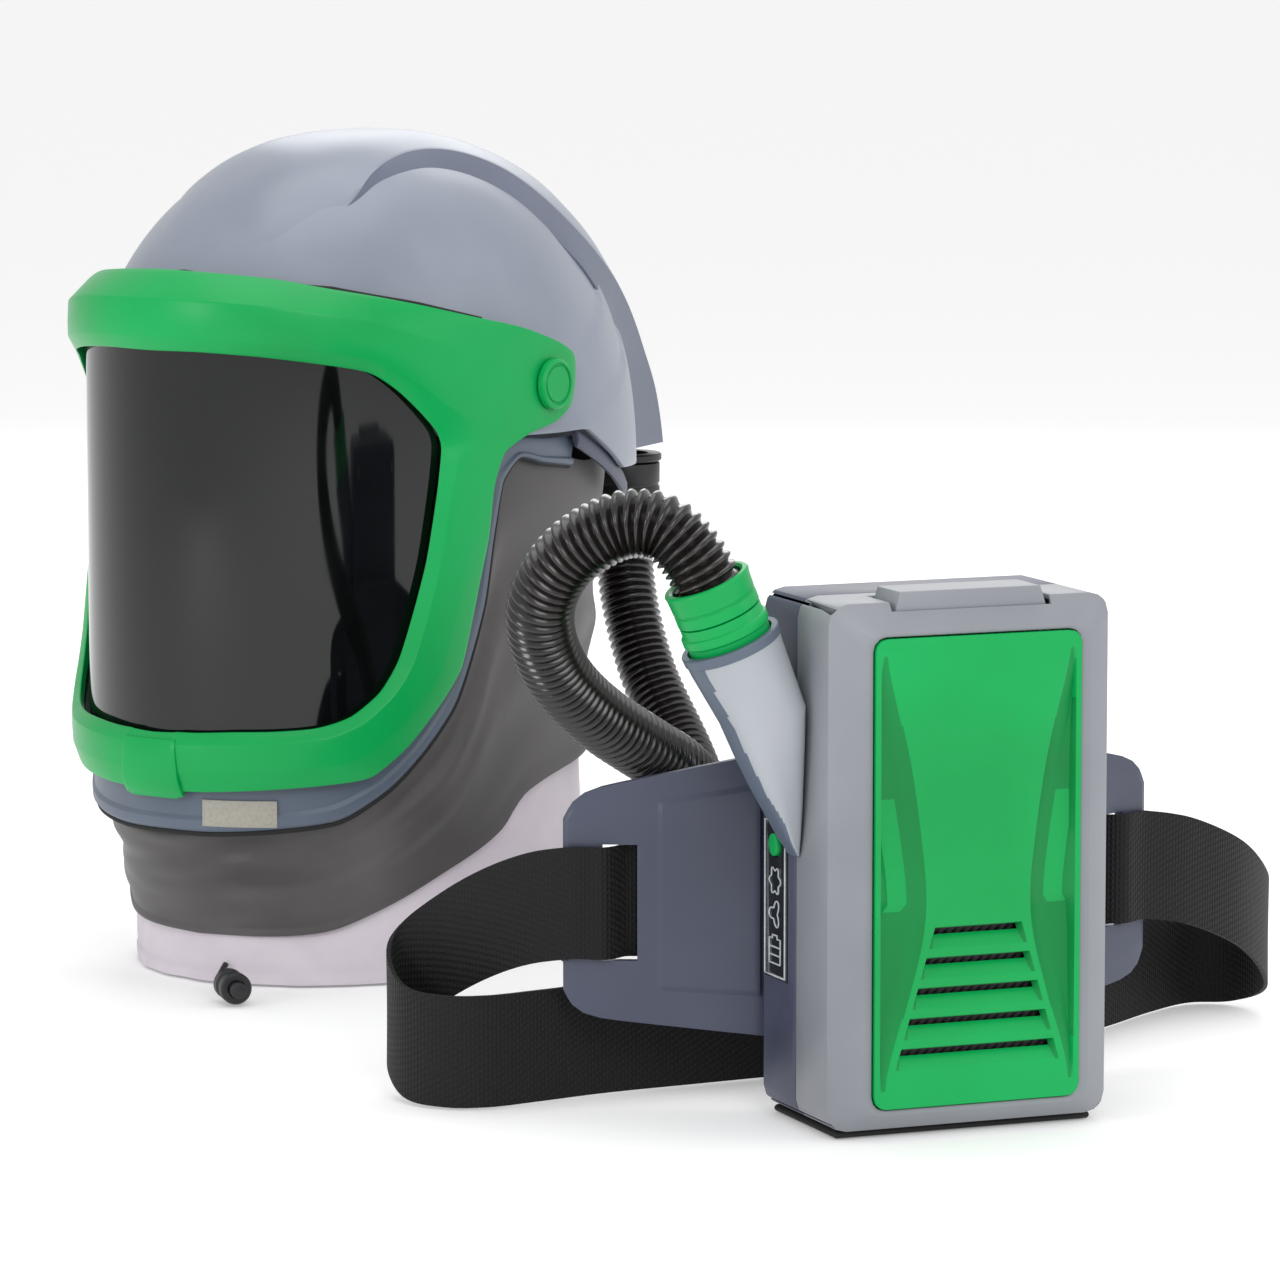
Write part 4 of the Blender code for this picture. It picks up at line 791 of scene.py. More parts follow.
# %% Pivot caps
CAP = [(0.01, 3.0), (8.6, 3.0), (9.1, 2.3), (9.9, 2.3), (10.3, 3.2), (11.4, 3.2), (12.3, 2.4), (12.6, 0.0), (6.0, -0.6),
       (0.01, -0.6)]
for word, sign in (("right", -1), ("left", 1)):
    cap = helmet_turned("pivot_button_" + word, CAP, (sign * 123.4, 7.0, 290.0), (sign, 0, 0))
    eased(cap, 0, smooth=30)
    done(cap, green_plastic, "respirator", "pivot_cap_" + word, "green")
    refined("pivot_pin_" + word, steel, 0.3, "steel")

# %% [markdown]
# The lens is a single-curved polycarbonate sheet, dark smoke all through.  It is bent one way only,
# so upright lights show in it as long soft bands.

# %% Lens
LENS_LOW = [(0, 117), (20, 118), (38, 121), (50, 133), (58, 157), (64, 202), (68, 226)]
LENS_HIGH = [(0, 321), (20, 320), (38, 316), (50, 309), (58, 296), (64, 275), (68, 257)]


def lens_point(column, row):
    ang = -68 + 136 * column / 96
    low, high = reading(LENS_LOW, abs(ang)), reading(LENS_HIGH, abs(ang))
    return on_helmet(on_visor(ang, low + (high - low) * row / 12, -8.5))


lens = surface("smoke_lens", 96, 12, lens_point, core=on_helmet((0, 0, 220)))
walled(lens, 2.0)
eased(lens, 0, smooth=40)
smoke = plain("smoke polycarbonate", "#0c0e0f", 0.045, Transmission_Weight=0.12)
tree = smoke.node_tree
place = add(tree, 'ShaderNodeTexCoord').outputs["Object"]
haze = add(tree, 'ShaderNodeTexNoise', {"Scale": 26.0, "Detail": 5.0}, Vector=place).outputs[0]
gloss = {"From Min": 0.35, "From Max": 0.75, "To Min": 0.03, "To Max": 0.085}
tint = add(tree, 'ShaderNodeValToRGB', {"stops": ((0.3, "#060808"), (0.7, "#0b0d0e"))}, Fac=haze)
feed(smoke, Roughness=add(tree, 'ShaderNodeMapRange', gloss, Value=haze).outputs[0], Base_Color=tint.outputs["Color"])
done(lens, smoke, "visor", "visor_lens", "smoke_lens")
refined("lens_gasket", black_rubber, 0.2, "black_rubber")

# %% [markdown]
# Seals, piping, strings and wire signs are all round cords, so one function makes them.

# %% Helper for round cords


def cord_shape(name, points, radius, sides=12):
    """A round cord through points in metres, with closed ends."""
    turnside = Vector((0.3, 0.2, 0.9))
    frames = []
    for k, p in enumerate(points):
        ahead = (points[min(k + 1, len(points) - 1)] - points[max(k - 1, 0)]).normalized()
        turnside = (turnside - ahead * turnside.dot(ahead)).normalized()
        frames.append((p, turnside.copy(), ahead.cross(turnside)))

    def lay(column, row):
        p, right, up = frames[row]
        a = 2 * math.pi * column / sides
        return p + (right * math.cos(a) + up * math.sin(a)) * radius * MM

    ob = surface(name, sides, len(points) - 1, lay, around=True)
    return eased(ends_closed(ob), 0, smooth=50)


# %% [markdown]
# A thin rubber seal lies along the brow, between the crown and the frame's top edge.

# %% Brow seal
BROW_LINE = [(0, 345), (42, 338), (62, 330), (80, 320)]
seal = cord_shape("brow_lip", [on_helmet(dome(ang, reading(BROW_LINE, abs(ang)), 2.4)) for ang in range(-78, 79, 3)], 1.6)
done(seal, black_rubber, "respirator", "brow_seal", "black_rubber")

# %% [markdown]
# Under the visor a slate carrier runs from ear to ear and holds the fabric.  It is made like the
# visor frame, with a rolled lower edge, and a black piping closes the joint to the cloth.

# %% Jaw carrier
JAW_OFF = -10.1
JAW_EDGE = [((108, 246), (108, 261)), ((96, 250), (96, 262)), ((88, 254), (87, 264)), ((83, 243), (79, 256)),
            ((80.5, 217), (73, 217)), ((78, 185), (70, 185)), ((74, 157), (66, 160)), ((70, 136), (62, 146)),
            ((63, 116), (56, 128)), ((55, 99), (48, 115)), ((44, 85), (38, 110)), ((30, 81), (28, 107)),
            ((14, 79), (13, 105)), ((0, 79), (0, 104))]
jaw_loop = loop_through(JAW_EDGE + [((-o[0], o[1]), (-i[0], i[1])) for o, i in reversed(JAW_EDGE[:-1])], 6, closed=False)
JAW_ROWS = [(0.0, -1.2), (0.07, 0.5), (0.22, 0.7), (0.3, -0.6), (0.55, 0.0), (0.8, 0.3), (1.0, -0.3)]


def jaw_point(column, row):
    share, off = JAW_ROWS[row]
    v = jaw_loop[column]
    return on_helmet(on_visor(v[0] + (v[2] - v[0]) * share, v[1] + (v[3] - v[1]) * share, JAW_OFF + off))


jaw = surface("jaw_carrier", len(jaw_loop) - 1, len(JAW_ROWS) - 1, jaw_point, core=on_helmet((0, 0, 200)))
walled(jaw, 3.0)
eased(jaw, 0.4, smooth=32)
done(jaw, jaw_plastic, "respirator", "jaw_frame", "slate")
piping_line = []
for ang, z, _, _ in jaw_loop:
    beside = abs(ang) > 60             # beside the carrier at the cheeks, and under it at the chin
    aside = 0.4 * math.copysign(1, ang) * beside
    piping_line.append(on_helmet(on_visor(ang + aside, z - 1.0 * (not beside), JAW_OFF - 2.6)))
piping = cord_shape("jaw_piping", piping_line, 1.5, 8)
done(piping, black_rubber, "respirator")
chin_label = plain("pale beige polyester label", "#b9b6ad", 0.55)
refined("chin_plate", chin_label, 0.3, "label")
tree = chin_label.node_tree
place = add(tree, 'ShaderNodeTexCoord').outputs["Object"]
fleck = add(tree, 'ShaderNodeTexNoise', {"Scale": 700.0, "Detail": 2.0}, Vector=place).outputs[0]
tint = add(tree, 'ShaderNodeValToRGB', {"stops": ((0.3, "#97938a"), (0.7, "#a39f96"))}, Fac=fleck)
feed(chin_label, Base_Color=tint.outputs["Color"])

# %% [markdown]
# Behind the ear a dark strut ties the carrier to the crown's lower band.

# %% Ear strut
for word, sign in (("left", 1), ("right", -1)):
    def strut_point(column, row):
        share = column / 12
        return on_helmet(dome(sign * (103 + 27 * share), 266 - 32 * share - 10 * row / 3, 0.4 if 0 < row < 3 else -0.8))

    strut = surface("ear_strut_" + word, 12, 3, strut_point, core=on_helmet((0, 0, 236)))
    walled(strut, 2.6)
    eased(strut, 0.5)
    done(strut, slate_plastic, "respirator")

# %% [markdown]
# The bib is coated cloth that closes the gap between the carrier and the neck.  It hangs in soft
# folds that follow its hem.  It is lofted from its top edge to its hem, and slow noise that is
# stretched sideways pushes the cloth in and out, more in the middle than at its sewn edges.

# %% Bib
CLOTH_COLUMNS, BIB_ROWS, CAPE_ROWS = 180, 44, 24
HEM = [(0, 24), (35, 27), (51, 38), (67, 53), (86, 71), (95, 87), (116, 95), (180, 100)]
BIB_TOP = [(0, 88), (30, 90), (44, 94), (55, 108), (63, 124), (70, 144), (78, 192), (81, 222), (85, 246), (96, 254),
           (106, 250), (116, 246), (180, 243)]


def plan(ang, a, bf, br, z):
    """A point on an oval of half width a, front depth bf and rear depth br."""
    t = math.radians(ang)
    return Vector((a * math.sin(t), -(bf if math.cos(t) > 0 else br) * math.cos(t), z))


def bib_place(ang, s, off):
    """A point on the unfolded bib, s from its top to its hem, moved outwards by off."""
    top, low = curved(BIB_TOP, abs(ang)), curved(HEM, abs(ang))
    e = s ** 0.9
    return plan(ang, 106.6 + off - 4.0 * e, 138.6 + off - 22.0 * e, 163.0 + off - 18.0 * e, top + (low - top) * s)


def bib_point(column, row):
    ang, s = -180 + 360 * column / CLOTH_COLUMNS, row / BIB_ROWS
    a = math.radians(ang)
    round_about = Vector((math.sin(a), math.cos(a), 0.0)) * 1.5
    broad = noise.noise(round_about + Vector((3.1, 0.4, s * 3.2)))
    fold = noise.noise(Vector((round_about.x * 0.9, round_about.y * 0.9, s * 6.5 + 7.0))
                       + Vector((0, 0, 1.2 * math.sin(a))))
    front = max(math.cos(a), 0.0)
    press = (math.sin(math.pi * min(s * 1.02, 1.0)) ** 0.7) * (0.45 + 0.55 * front + 0.25 * abs(math.sin(a)))
    off = (4.4 * broad + 4.6 * fold + 2.2 * math.sin(s * 12 + 2.5 * broad) * front ** 2) * press
    off += 0.7 * (s > 0.955) - 0.25 * (0.93 < s <= 0.955)
    return on_helmet(bib_place(ang, s, off))


bib = surface("cloth_bib", CLOTH_COLUMNS, BIB_ROWS, bib_point, around=True, core=on_helmet((0, 0, 120)))
walled(bib, 1.2)
eased(bib, 0, smooth=70)
bib_cloth = plain("charcoal coated nylon", "#454142", 0.52, Sheen_Weight=0.15, Sheen_Roughness=0.4)
tree = bib_cloth.node_tree
place = add(tree, 'ShaderNodeTexCoord').outputs["Object"]
worn = add(tree, 'ShaderNodeTexNoise', {"Scale": 14.0, "Detail": 5.0}, Vector=place).outputs[0]
threads = add(tree, 'ShaderNodeTexNoise', {"Scale": 1500.0, "Detail": 2.0}, Vector=place).outputs[0]
gloss = {"From Min": 0.3, "From Max": 0.7, "To Min": 0.4, "To Max": 0.62}
tint = add(tree, 'ShaderNodeValToRGB', {"stops": ((0.3, "#3a3738"), (0.5, "#454243"), (0.72, "#545152"))}, Fac=worn)
feed(bib_cloth, Base_Color=tint.outputs["Color"],
     Roughness=add(tree, 'ShaderNodeMapRange', gloss, Value=worn).outputs[0],
     Normal=add(tree, 'ShaderNodeBump', {"Strength": 0.4, "Distance": 0.00012}, Height=threads).outputs[0])
done(bib, bib_cloth, "respirator", "bib", "bib_fabric")

# %% [markdown]
# The neck cape is a soft laminated cloth, pale lavender grey, gathered a little at its elastic hem.
# It comes out from under the bib and stands on the floor here.  Upright noise gives the gathers.

# %% Neck cape


def cape_point(column, row):
    ang, s = -180 + 360 * column / CLOTH_COLUMNS, row / CAPE_ROWS
    a = math.radians(ang)
    round_about = Vector((math.sin(a), math.cos(a), 0.0))
    gather = noise.noise(round_about * 6.0 + Vector((0, 0, 0.6 * s + 2.0)))
    slack = noise.noise(round_about * 2.0 + Vector((5.0, 1.0, 2.0 * s)))
    off = (1.7 * gather * s + 1.8 * slack * math.sin(math.pi * min(s + 0.1, 1.0))
           + 0.8 * (s > 0.86) - 0.5 * (0.8 < s <= 0.86) + 1.4 * math.sin(math.pi * s))
    z = (curved(HEM, abs(ang)) + 16.0) * (1 - s) + 0.8 * s
    return on_helmet(plan(ang, 98.6 - s + off, 112.6 + 3.0 * s + off, 141.0 - 4.0 * s + off, z))


cape = surface("neck_cape", CLOTH_COLUMNS, CAPE_ROWS, cape_point, around=True, core=on_helmet((0, 0, 60)))
walled(cape, 1.4)
eased(cape, 0, smooth=70)
cape_cloth = plain("lavender grey laminated cloth", "#cbc2cc", 0.85, Sheen_Weight=0.3, Sheen_Roughness=0.5)
tree = cape_cloth.node_tree
place = add(tree, 'ShaderNodeTexCoord').outputs["Object"]
cloud = add(tree, 'ShaderNodeTexNoise', {"Scale": 18.0, "Detail": 4.0}, Vector=place).outputs[0]
fibre = add(tree, 'ShaderNodeTexNoise', {"Scale": 1100.0, "Detail": 3.0}, Vector=place).outputs[0]
tint = add(tree, 'ShaderNodeValToRGB', {"stops": ((0.3, "#c2b9c3"), (0.55, "#cec5ce"), (0.75, "#d8d0d7"))}, Fac=cloud)
feed(cape_cloth, Base_Color=tint.outputs["Color"],
     Normal=add(tree, 'ShaderNodeBump', {"Strength": 0.5, "Distance": 0.00016}, Height=fibre).outputs[0])
done(cape, cape_cloth, "respirator", "cape", "cape_fabric")

# %% [markdown]
# A drawstring leaves the hem at the front and ends in a sprung cord lock.  The lock's barrel is
# turned with a flared mouth, and the string is a round braided cord.

# %% Drawstring and cord lock
KNOT, LOCK = Vector((16.0, -116.6, 10.0)), Vector((50.0, -152.6, 8.2))
DRAW = Vector((0.8, -0.6, 0.0))
string_route = [KNOT, KNOT + Vector((4, -10, -5)), LOCK - DRAW * 18.0 - Vector((0, 0, 2)), LOCK - DRAW * 8.0]
string_line = [on_helmet(p) for p in smooth_line(string_route, 2.0)]
string = cord_shape("draw_cord", string_line, 1.5)
braid = plain("black braided polyester cord", "#121214", 0.7, Sheen_Weight=0.2)
tree = braid.node_tree
ply = add(tree, 'ShaderNodeTexWave', {"bands_direction": 'DIAGONAL', "Scale": WAVE_MM / 1.6},
          Vector=add(tree, 'ShaderNodeTexCoord').outputs["Object"]).outputs["Fac"]
tint = add(tree, 'ShaderNodeValToRGB', {"stops": ((0.0, "#0a0a0b"), (1.0, "#1e1e21"))}, Fac=ply)
feed(braid, Base_Color=tint.outputs["Color"],
     Normal=add(tree, 'ShaderNodeBump', {"Strength": 0.6, "Distance": 0.0003}, Height=ply).outputs[0])
done(string, braid, "respirator", "drawstring", "webbing")
BARREL = [(4.4, -9), (6.4, -9), (7.4, -8), (7.4, -3), (6.6, -2), (6.6, 2), (7.6, 3), (7.6, 8), (6.8, 9), (4.4, 9),
          (4.4, -9)]
barrel = helmet_turned("cord_lock_barrel", BARREL, LOCK, DRAW, 40)
eased(barrel, 0, smooth=30)
done(barrel, black_plastic, "respirator", "cord_lock_body", "black_plastic")
refined("cord_lock_plunger", black_plastic, 0.6, "black_plastic")

# %% [markdown]
# Inside the crown sits an ordinary helmet harness.  The band, its links, the ratchet and the nozzle
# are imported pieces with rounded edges, the two straps are narrow webbing, and the brow pad is foam
# in a soft cover, swollen between its seams.

# %% Harness
for node, width in (("headband", 0.5), ("headband_link_left", 0.4), ("headband_link_right", 0.4), ("ratchet_housing", 0.8)):
    refined(node, black_plastic, width, "black_plastic")
refined("air_nozzle", slate_plastic, 0.5, "slate")
SOCKET = [(12.5, 0), (18.6, 0), (19.4, 0.8), (19.4, 3.2), (18.6, 4.0), (12.5, 4.0), (12.5, 0)]
socket = helmet_turned("inlet_socket", SOCKET, (NAPE_X, NAPE_Y, 231.5), (0, 0, 1))
eased(socket, 0, smooth=30)
done(socket, black_plastic, "respirator", "hose_inlet_socket", "black_plastic")


def strap_over(name, reach_max, top, along):
    """An arched strap over the head, from side to side along X or from front to back along Y."""
    def lay(column, row):
        t = math.pi * column / 60
        reach, h = reach_max * math.cos(t), 294.0 + (top - 294.0) * math.sin(t) ** 0.9
        wide = (row / 8 - 0.5) * 18
        return on_helmet((reach, wide, h) if along == 'X' else (-wide, reach, h))

    ob = surface(name, 60, 8, lay, core=on_helmet((0, 0, 288)))
    for spot in ob.data.uv_layers.active.data:
        spot.uv = (spot.uv[0] * 0.26, spot.uv[1] * 0.018)
    walled(ob, 1.4)
    eased(ob, 0, smooth=60)
    return ob


done(strap_over("crown_webbing_cross", 75.4, 370.0, 'X'), webbing_mat, "respirator", "crown_strap_cross", "webbing")
done(strap_over("crown_webbing_long", 87.4, 375.0, 'Y'), webbing_mat, "respirator", "crown_strap_long", "webbing")


def pad_point(column, row):
    """A cushion's cross-section: full in the middle, drawn in at the ends and at each sewn channel."""
    ang = -50 + 100 * column / 60
    t = 2 * math.pi * row / 24
    end = math.sqrt(max(1 - (abs(ang) / 50.0) ** 6, 0.0))
    channel_depth = 1 - 0.28 * math.exp(-((abs((ang + 75) % 25 - 12.5) - 12.5) / 1.6) ** 2)
    half_h, half_t = 11.6 * (0.7 + 0.3 * end), 2.6 * end * channel_depth + 0.05
    c, s = math.cos(t), math.sin(t)
    out = half_t * math.copysign(abs(c) ** 0.8, c) - 2.6
    up = half_h * math.copysign(abs(s) ** 0.6, s)
    a = math.radians(ang)
    return on_helmet(((77.0 + out) * math.sin(a), -(95.0 + out) * math.cos(a), 303.0 + up))


pad = surface("brow_cushion", 60, 24, pad_point)
all_of(pad, lambda: bpy.ops.mesh.remove_doubles(threshold=0.00008))
faced_out(pad)
eased(pad, 0, smooth=70)
pad_cloth = plain("grey brushed foam cover", "#a9a4ac", 0.9, Sheen_Weight=0.4, Sheen_Roughness=0.5)
tree = pad_cloth.node_tree
place = add(tree, 'ShaderNodeTexCoord').outputs["Object"]
nap = add(tree, 'ShaderNodeTexNoise', {"Scale": 900.0, "Detail": 3.0}, Vector=place).outputs[0]
tint = add(tree, 'ShaderNodeValToRGB', {"stops": ((0.3, "#9b969e"), (0.7, "#b6b1b8"))}, Fac=nap)
feed(pad_cloth, Base_Color=tint.outputs["Color"],
     Normal=add(tree, 'ShaderNodeBump', {"Strength": 0.5, "Distance": 0.0002}, Height=nap).outputs[0])
done(pad, pad_cloth, "respirator", "brow_pad", "cape_fabric")
GRIP = [(0.01, 0.2), (17.0, 0.2), (18.0, 1.2), (18.0, 12.2), (16.8, 14.0), (13.0, 14.9), (9.0, 14.2), (0.01, 13.8)]
knob = helmet_turned("ratchet_grip", GRIP, RATCHET_AT, (0, 1, 0), 72)
for v in knob.data.vertices:
    local = HELMET_TURN.inverted() @ (v.co - HELMET_AT) / MM - RATCHET_AT
    r, a = math.hypot(local.x, local.z), math.atan2(local.z, local.x)
    if r > 16.5:
        grip = 1 - 0.04 * (0.5 + 0.5 * math.cos(18 * a))
        v.co = on_helmet(RATCHET_AT + Vector((local.x * grip, local.y, local.z * grip)))
eased(knob, 0, smooth=32)
done(knob, slate_plastic, "size_knob", "ratchet_knob", "slate")
print("harness finished")

# %% [markdown]
# The blower unit is two moulded halves, a grey front and a slate rear, with a black base.  Their
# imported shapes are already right, so copies of them are merged and every edge is rounded by the
# millimetre that a mould leaves.

# %% Housing
refined("front_bezel", unit_plastic, 1.1, "unit_grey")
refined("rear_housing", slate_plastic, 1.0, "slate")
for node, mat, width, finish_slot in (
        ("base_plate", black_rubber, 0.5, "black_rubber"), ("battery_pack", black_plastic, 0.8, "black_plastic"),
        ("battery_latch", green_plastic, 0.4, "green"), ("filter_bay_wall", slate_plastic, 0.4, "slate"),
        ("blower_volute", slate_plastic, 0.6, "slate"), ("impeller", green_plastic, 0.3, "green"),
        ("motor", steel, 0.5, "steel"),
        ("motor_shaft", steel, 0.3, "steel"), ("filter_seal", black_rubber, 0.3, "black_rubber"),
        ("circuit_board", board_mask, 0.2, "board")):
    refined(node, mat, width, finish_slot)
print("housing finished")

# %% [markdown]
# The filter is a pleated pack of white fibre.  The pleats are real folds: a grid whose columns step
# forwards and back, with a wall.

# %% Filter pleats


def pleated(name, node, pitch, depth):
    """A sheet folded forwards and back at a pitch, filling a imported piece's width and height."""
    low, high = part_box(node)
    count = max(4, 2 * round((high.x - low.x) / pitch / MM))

    def lay(column, row):
        x = low.x + (high.x - low.x) * column / count
        y = low.y + 0.0006 + (depth * MM if column % 2 else 0.0)
        return Vector((x, y, low.z + (high.z - low.z) * row / 6))

    ob = surface(name, count, 6, lay, core=((low.x + high.x) / 2, high.y + 0.05, (low.z + high.z) / 2))
    return walled(ob, 0.5)


done(pleated("filter_pleats", "filter_element", 4.0, 15.0), filter_media, "respirator", "filter_element", "filter_media")
done(pleated("pre_filter_mat", "pre_filter", 2.4, 0.9), filter_media, "respirator", "pre_filter", "filter_media")

# %% [markdown]
# The green filter cover is the unit's face.  A waisted middle panel stands between two sunk sides,
# and five hooded louvres take in air.  The grid's columns follow the ridges and the louvre ends, and
# its rows follow the louvres, so that each crease is an edge of the mesh.

# %% Filter cover
COVER_X, COVER_Z0, COVER_Z1, FACE, CORNER = 48.4, 14.1, 217.4, -44.8, 5.5
COVER_HALF = 16                    # columns from the rim to the middle
RIDGE = [(14, 43.0), (29, 42.0), (60, 33.0), (84, 26.6), (100, 24.6), (118, 25.4), (162, 31.8), (205, 42.0), (217, 43.0)]
SUNK = [(20, 0.0), (30, 1.6), (60, 3.8), (99.0, 4.8), (102.5, 3.4), (150, 4.0), (190, 3.0), (211, 0.0)]
LOUVRES = [92.0 - 13.0 * k for k in range(5)]
LOUVRE_HALF = [(30, 39.0), (92, 20.5)]
HOOD = [(0.0, 0.0), (0.35, 3.4), (1.0, 3.5), (3.6, 3.5), (9.2, 0.0)]
NEAR_RIM = (0, 0.4, 1.4, 3.0, 5.5)
heights = {COVER_Z0 + d for d in NEAR_RIM} | {COVER_Z1 - d for d in NEAR_RIM}
heights |= {22, 25, 28, 98, 99, 102.5, 106, 112, 118, 210, 205} | {124 + 8 * k for k in range(10)}
heights |= {top - d for top in LOUVRES for d, _ in HOOD} | {top - 6.4 for top in LOUVRES}
cover_rows = sorted(heights)
cover_rows = [z for k, z in enumerate(cover_rows) if k == 0 or z - cover_rows[k - 1] > 0.25]


def cover_knots(z):
    """(distance from the middle, depth) of each column on one side, from the rim inwards."""
    ridge, sunk = curved(RIDGE, z), max(reading(SUNK, z), 0.0)
    slope = min(2.0 + 1.7 * sunk, max(45.4 - ridge, 0.3))
    louvre = min(reading(LOUVRE_HALF, z), ridge - 2.2)
    outer = max(ridge + slope, min(44.6, ridge + slope + 9))
    scoop = 0.0
    for top in LOUVRES:
        if -0.01 <= top - z <= 9.3:
            scoop = reading(HOOD, top - z)
    bead = -0.25 * min(sunk, 1.0)
    knots = [(COVER_X, 0.0), (47.6, 0.0), (46.4, 0.0), (45.9, 0.15 * min(sunk, 1)), (outer if sunk else 45.6, sunk),
             (ridge + slope, sunk), (ridge + 0.5, 0.12 * sunk), (ridge, 0.0), (ridge - 0.8, bead), (louvre + 1.6, bead),
             (louvre, -0.2), (louvre - 1.7, scoop), (louvre * 0.8, scoop), (louvre * 0.62, scoop), (louvre * 0.42, scoop),
             (louvre * 0.2, scoop), (0.0, scoop)]
    for k in range(1, len(knots) - 1):
        knots[k] = (min(knots[k][0], knots[k - 1][0] - 0.2), knots[k][1])
    return knots


def cover_point(column, row):
    z = cover_rows[row]
    x, depth = cover_knots(z)[min(column, 2 * COVER_HALF - column)]
    near = min(z - COVER_Z0, COVER_Z1 - z)
    corner = CORNER - math.sqrt(max(CORNER ** 2 - (CORNER - near) ** 2, 0.0)) if near < CORNER else 0.0
    x -= corner * min(max((x - 30.0) / (COVER_X - 30.0), 0.0), 1.0)
    depth = max(depth, 0.0) * min(near / 4.0, 1.0) + min(depth, 0.0)
    return Vector(((1 if column > COVER_HALF else -1) * x, FACE + 0.25 + depth, z)) * MM


cover = surface("filter_door_panel", 2 * COVER_HALF, len(cover_rows) - 1, cover_point)
edit(cover, 'EDGE', lambda m, d: False, lambda: bpy.ops.mesh.select_non_manifold(),
     lambda: bpy.ops.mesh.extrude_region_move(TRANSFORM_OT_translate={"value": (0, 0.0034, 0)}))


def in_louvre(c, n):
    """Whether a face lies in the deep part of a louvre, where the air goes in."""
    x, depth, z = abs(c.x) / MM, c.y / MM - FACE, c.z / MM
    return any(1.0 < top - z < 3.4 for top in LOUVRES) and x < reading(LOUVRE_HALF, z) - 1.8 and depth > 3.0


edit(cover, 'FACE', in_louvre, lambda: bpy.ops.mesh.delete(type='FACE'))
front = sum(f.normal.y * f.area for f in cover.data.polygons)
if front > 0:
    all_of(cover, lambda: bpy.ops.mesh.flip_normals())
# The slopes, the sunk side floors and the louvre hoods take material 1, a darker green that is painted shade for these
# recessed faces.
for face in cover.data.polygons:
    x, depth, z = abs(face.center.x) / MM, face.center.y / MM - FACE, face.center.z / MM
    slope = abs(face.normal.x) > 0.12 and 18 < x < 45.5 and depth > 0.45
    sunk = depth > 1.9 and x < 45.5 and (z < 99 or z > 150) and x > curved(RIDGE, z)
    hood = any(-0.2 < top - z < 4.0 for top in LOUVRES) and x < reading(LOUVRE_HALF, z) and depth > 0.6
    face.material_index = 1 if slope or sunk or hood else 0
walled(cover, 1.5)
eased(cover, 0.3, angle=32, smooth=30)
# Painted shade: a darker copy of the green cover plastic, standing in for the shadow in the recesses and under the
# hoods.
painted_shade_green = moulded("semi-gloss green plastic in the sunk sides", ("#007a38", "#00843f", "#008d46"), 0.42, 0.6, 0.02,
                      ior=1.36)
done(cover, green_plastic, "filter_door", "filter_cover", "green", painted_shade_green)
print("filter cover", len(cover.data.polygons), "faces")

# %% [markdown]
# Behind the louvres a fine dark screen stops sparks.  It rides on the cover.

# %% Spark screen


def screen_point(column, row):
    return Vector((-0.041 + 0.082 * column / 40, -0.0374 + 0.00025 * ((column + row) % 2), 0.030 + 0.064 * row / 30))


screen = surface("spark_screen", 40, 30, screen_point, core=(0, 0.1, 0.06))
done(walled(screen, 0.5), black_plastic, "filter_door")

# %% [markdown]
# The latch is a low hump on top of the unit with sloped ends.  A cube is set at its place, its two
# upper ends are drawn in, and all its edges are rounded.

# %% Cover latch
low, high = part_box("cover_latch")
nothing_picked()
bpy.ops.mesh.primitive_cube_add(size=1, location=(low + high) / 2, scale=high - low)
hump = bpy.context.object
hump.name = "latch_hump"
bpy.ops.object.transform_apply(location=True, rotation=True, scale=True)
middle = tuple((low + high) / 2)
edit(hump, 'FACE', lambda c, n: n.z > 0.9, lambda: bpy.ops.transform.resize(value=(0.9, 0.92, 1), center_override=middle))
edit(hump, 'FACE', lambda c, n: n.z > 0.9, lambda: bpy.ops.mesh.inset(thickness=0.003, depth=0.0),
     lambda: bpy.ops.transform.translate(value=(0, 0, -0.0004)))
eased(hump, 1.0, angle=20, smooth=30)
done(hump, unit_plastic, "latch", "cover_latch", "unit_grey")

# %% [markdown]
# The outlet spout leaves the unit's side low down and widens into a round mouth for the hose.  It is
# lofted from a flat-fronted section at its foot to the mouth's circle.  Its front half is grey and
# its rear half slate, as on the housing.

# %% Outlet spout
ACROSS = Vector((math.cos(TILT), 0.0, math.sin(TILT)))
# height, reach from the unit, depth in front, depth behind
SPOUT = [(120.0, 1.6, 5.0, 7.0), (128.0, 6.5, 8.5, 9.5), (140.0, 12.5, 12.0, 12.5), (154.0, 19.5, 15.0, 15.5),
         (168.0, 26.5, 17.6, 18.0), (182.0, 33.0, 19.4, 19.6)]
# distance back from the mouth, radius
SPOUT_MOUTH = [(9.0, 21.0), (4.6, 21.4), (4.2, 22.0), (0.6, 22.2), (0.0, 21.8), (0.0, 19.4), (1.2, 18.8), (14.0, 18.8),
               (24.0, 18.2)]
SPOUT_SIDES, SPOUT_STEPS, UNIT_SIDE = 64, 4, -66.3


def spout_section(k, reach, front, rear, z):
    """A level section: flat against the unit, square in front and round behind."""
    a = 2 * math.pi * k / SPOUT_SIDES
    c, s = math.cos(a), math.sin(a)
    power = 0.55 if s < 0 else 0.8
    x = UNIT_SIDE - reach * 0.5 + reach * 0.5 * math.copysign(abs(c) ** power, c)
    y = (front if s < 0 else rear) * math.copysign(abs(s) ** power, s)
    return Vector((x, y, z + 5.0 * c * min(reach / 20.0, 1.0)))


def mouth_point(k, back, r):
    """A point on the round mouth, back from its rim."""
    a = 2 * math.pi * k / SPOUT_SIDES
    return MOUTH - AXIS * back + ACROSS * (r * math.cos(a)) + Vector((0, r * math.sin(a), 0))


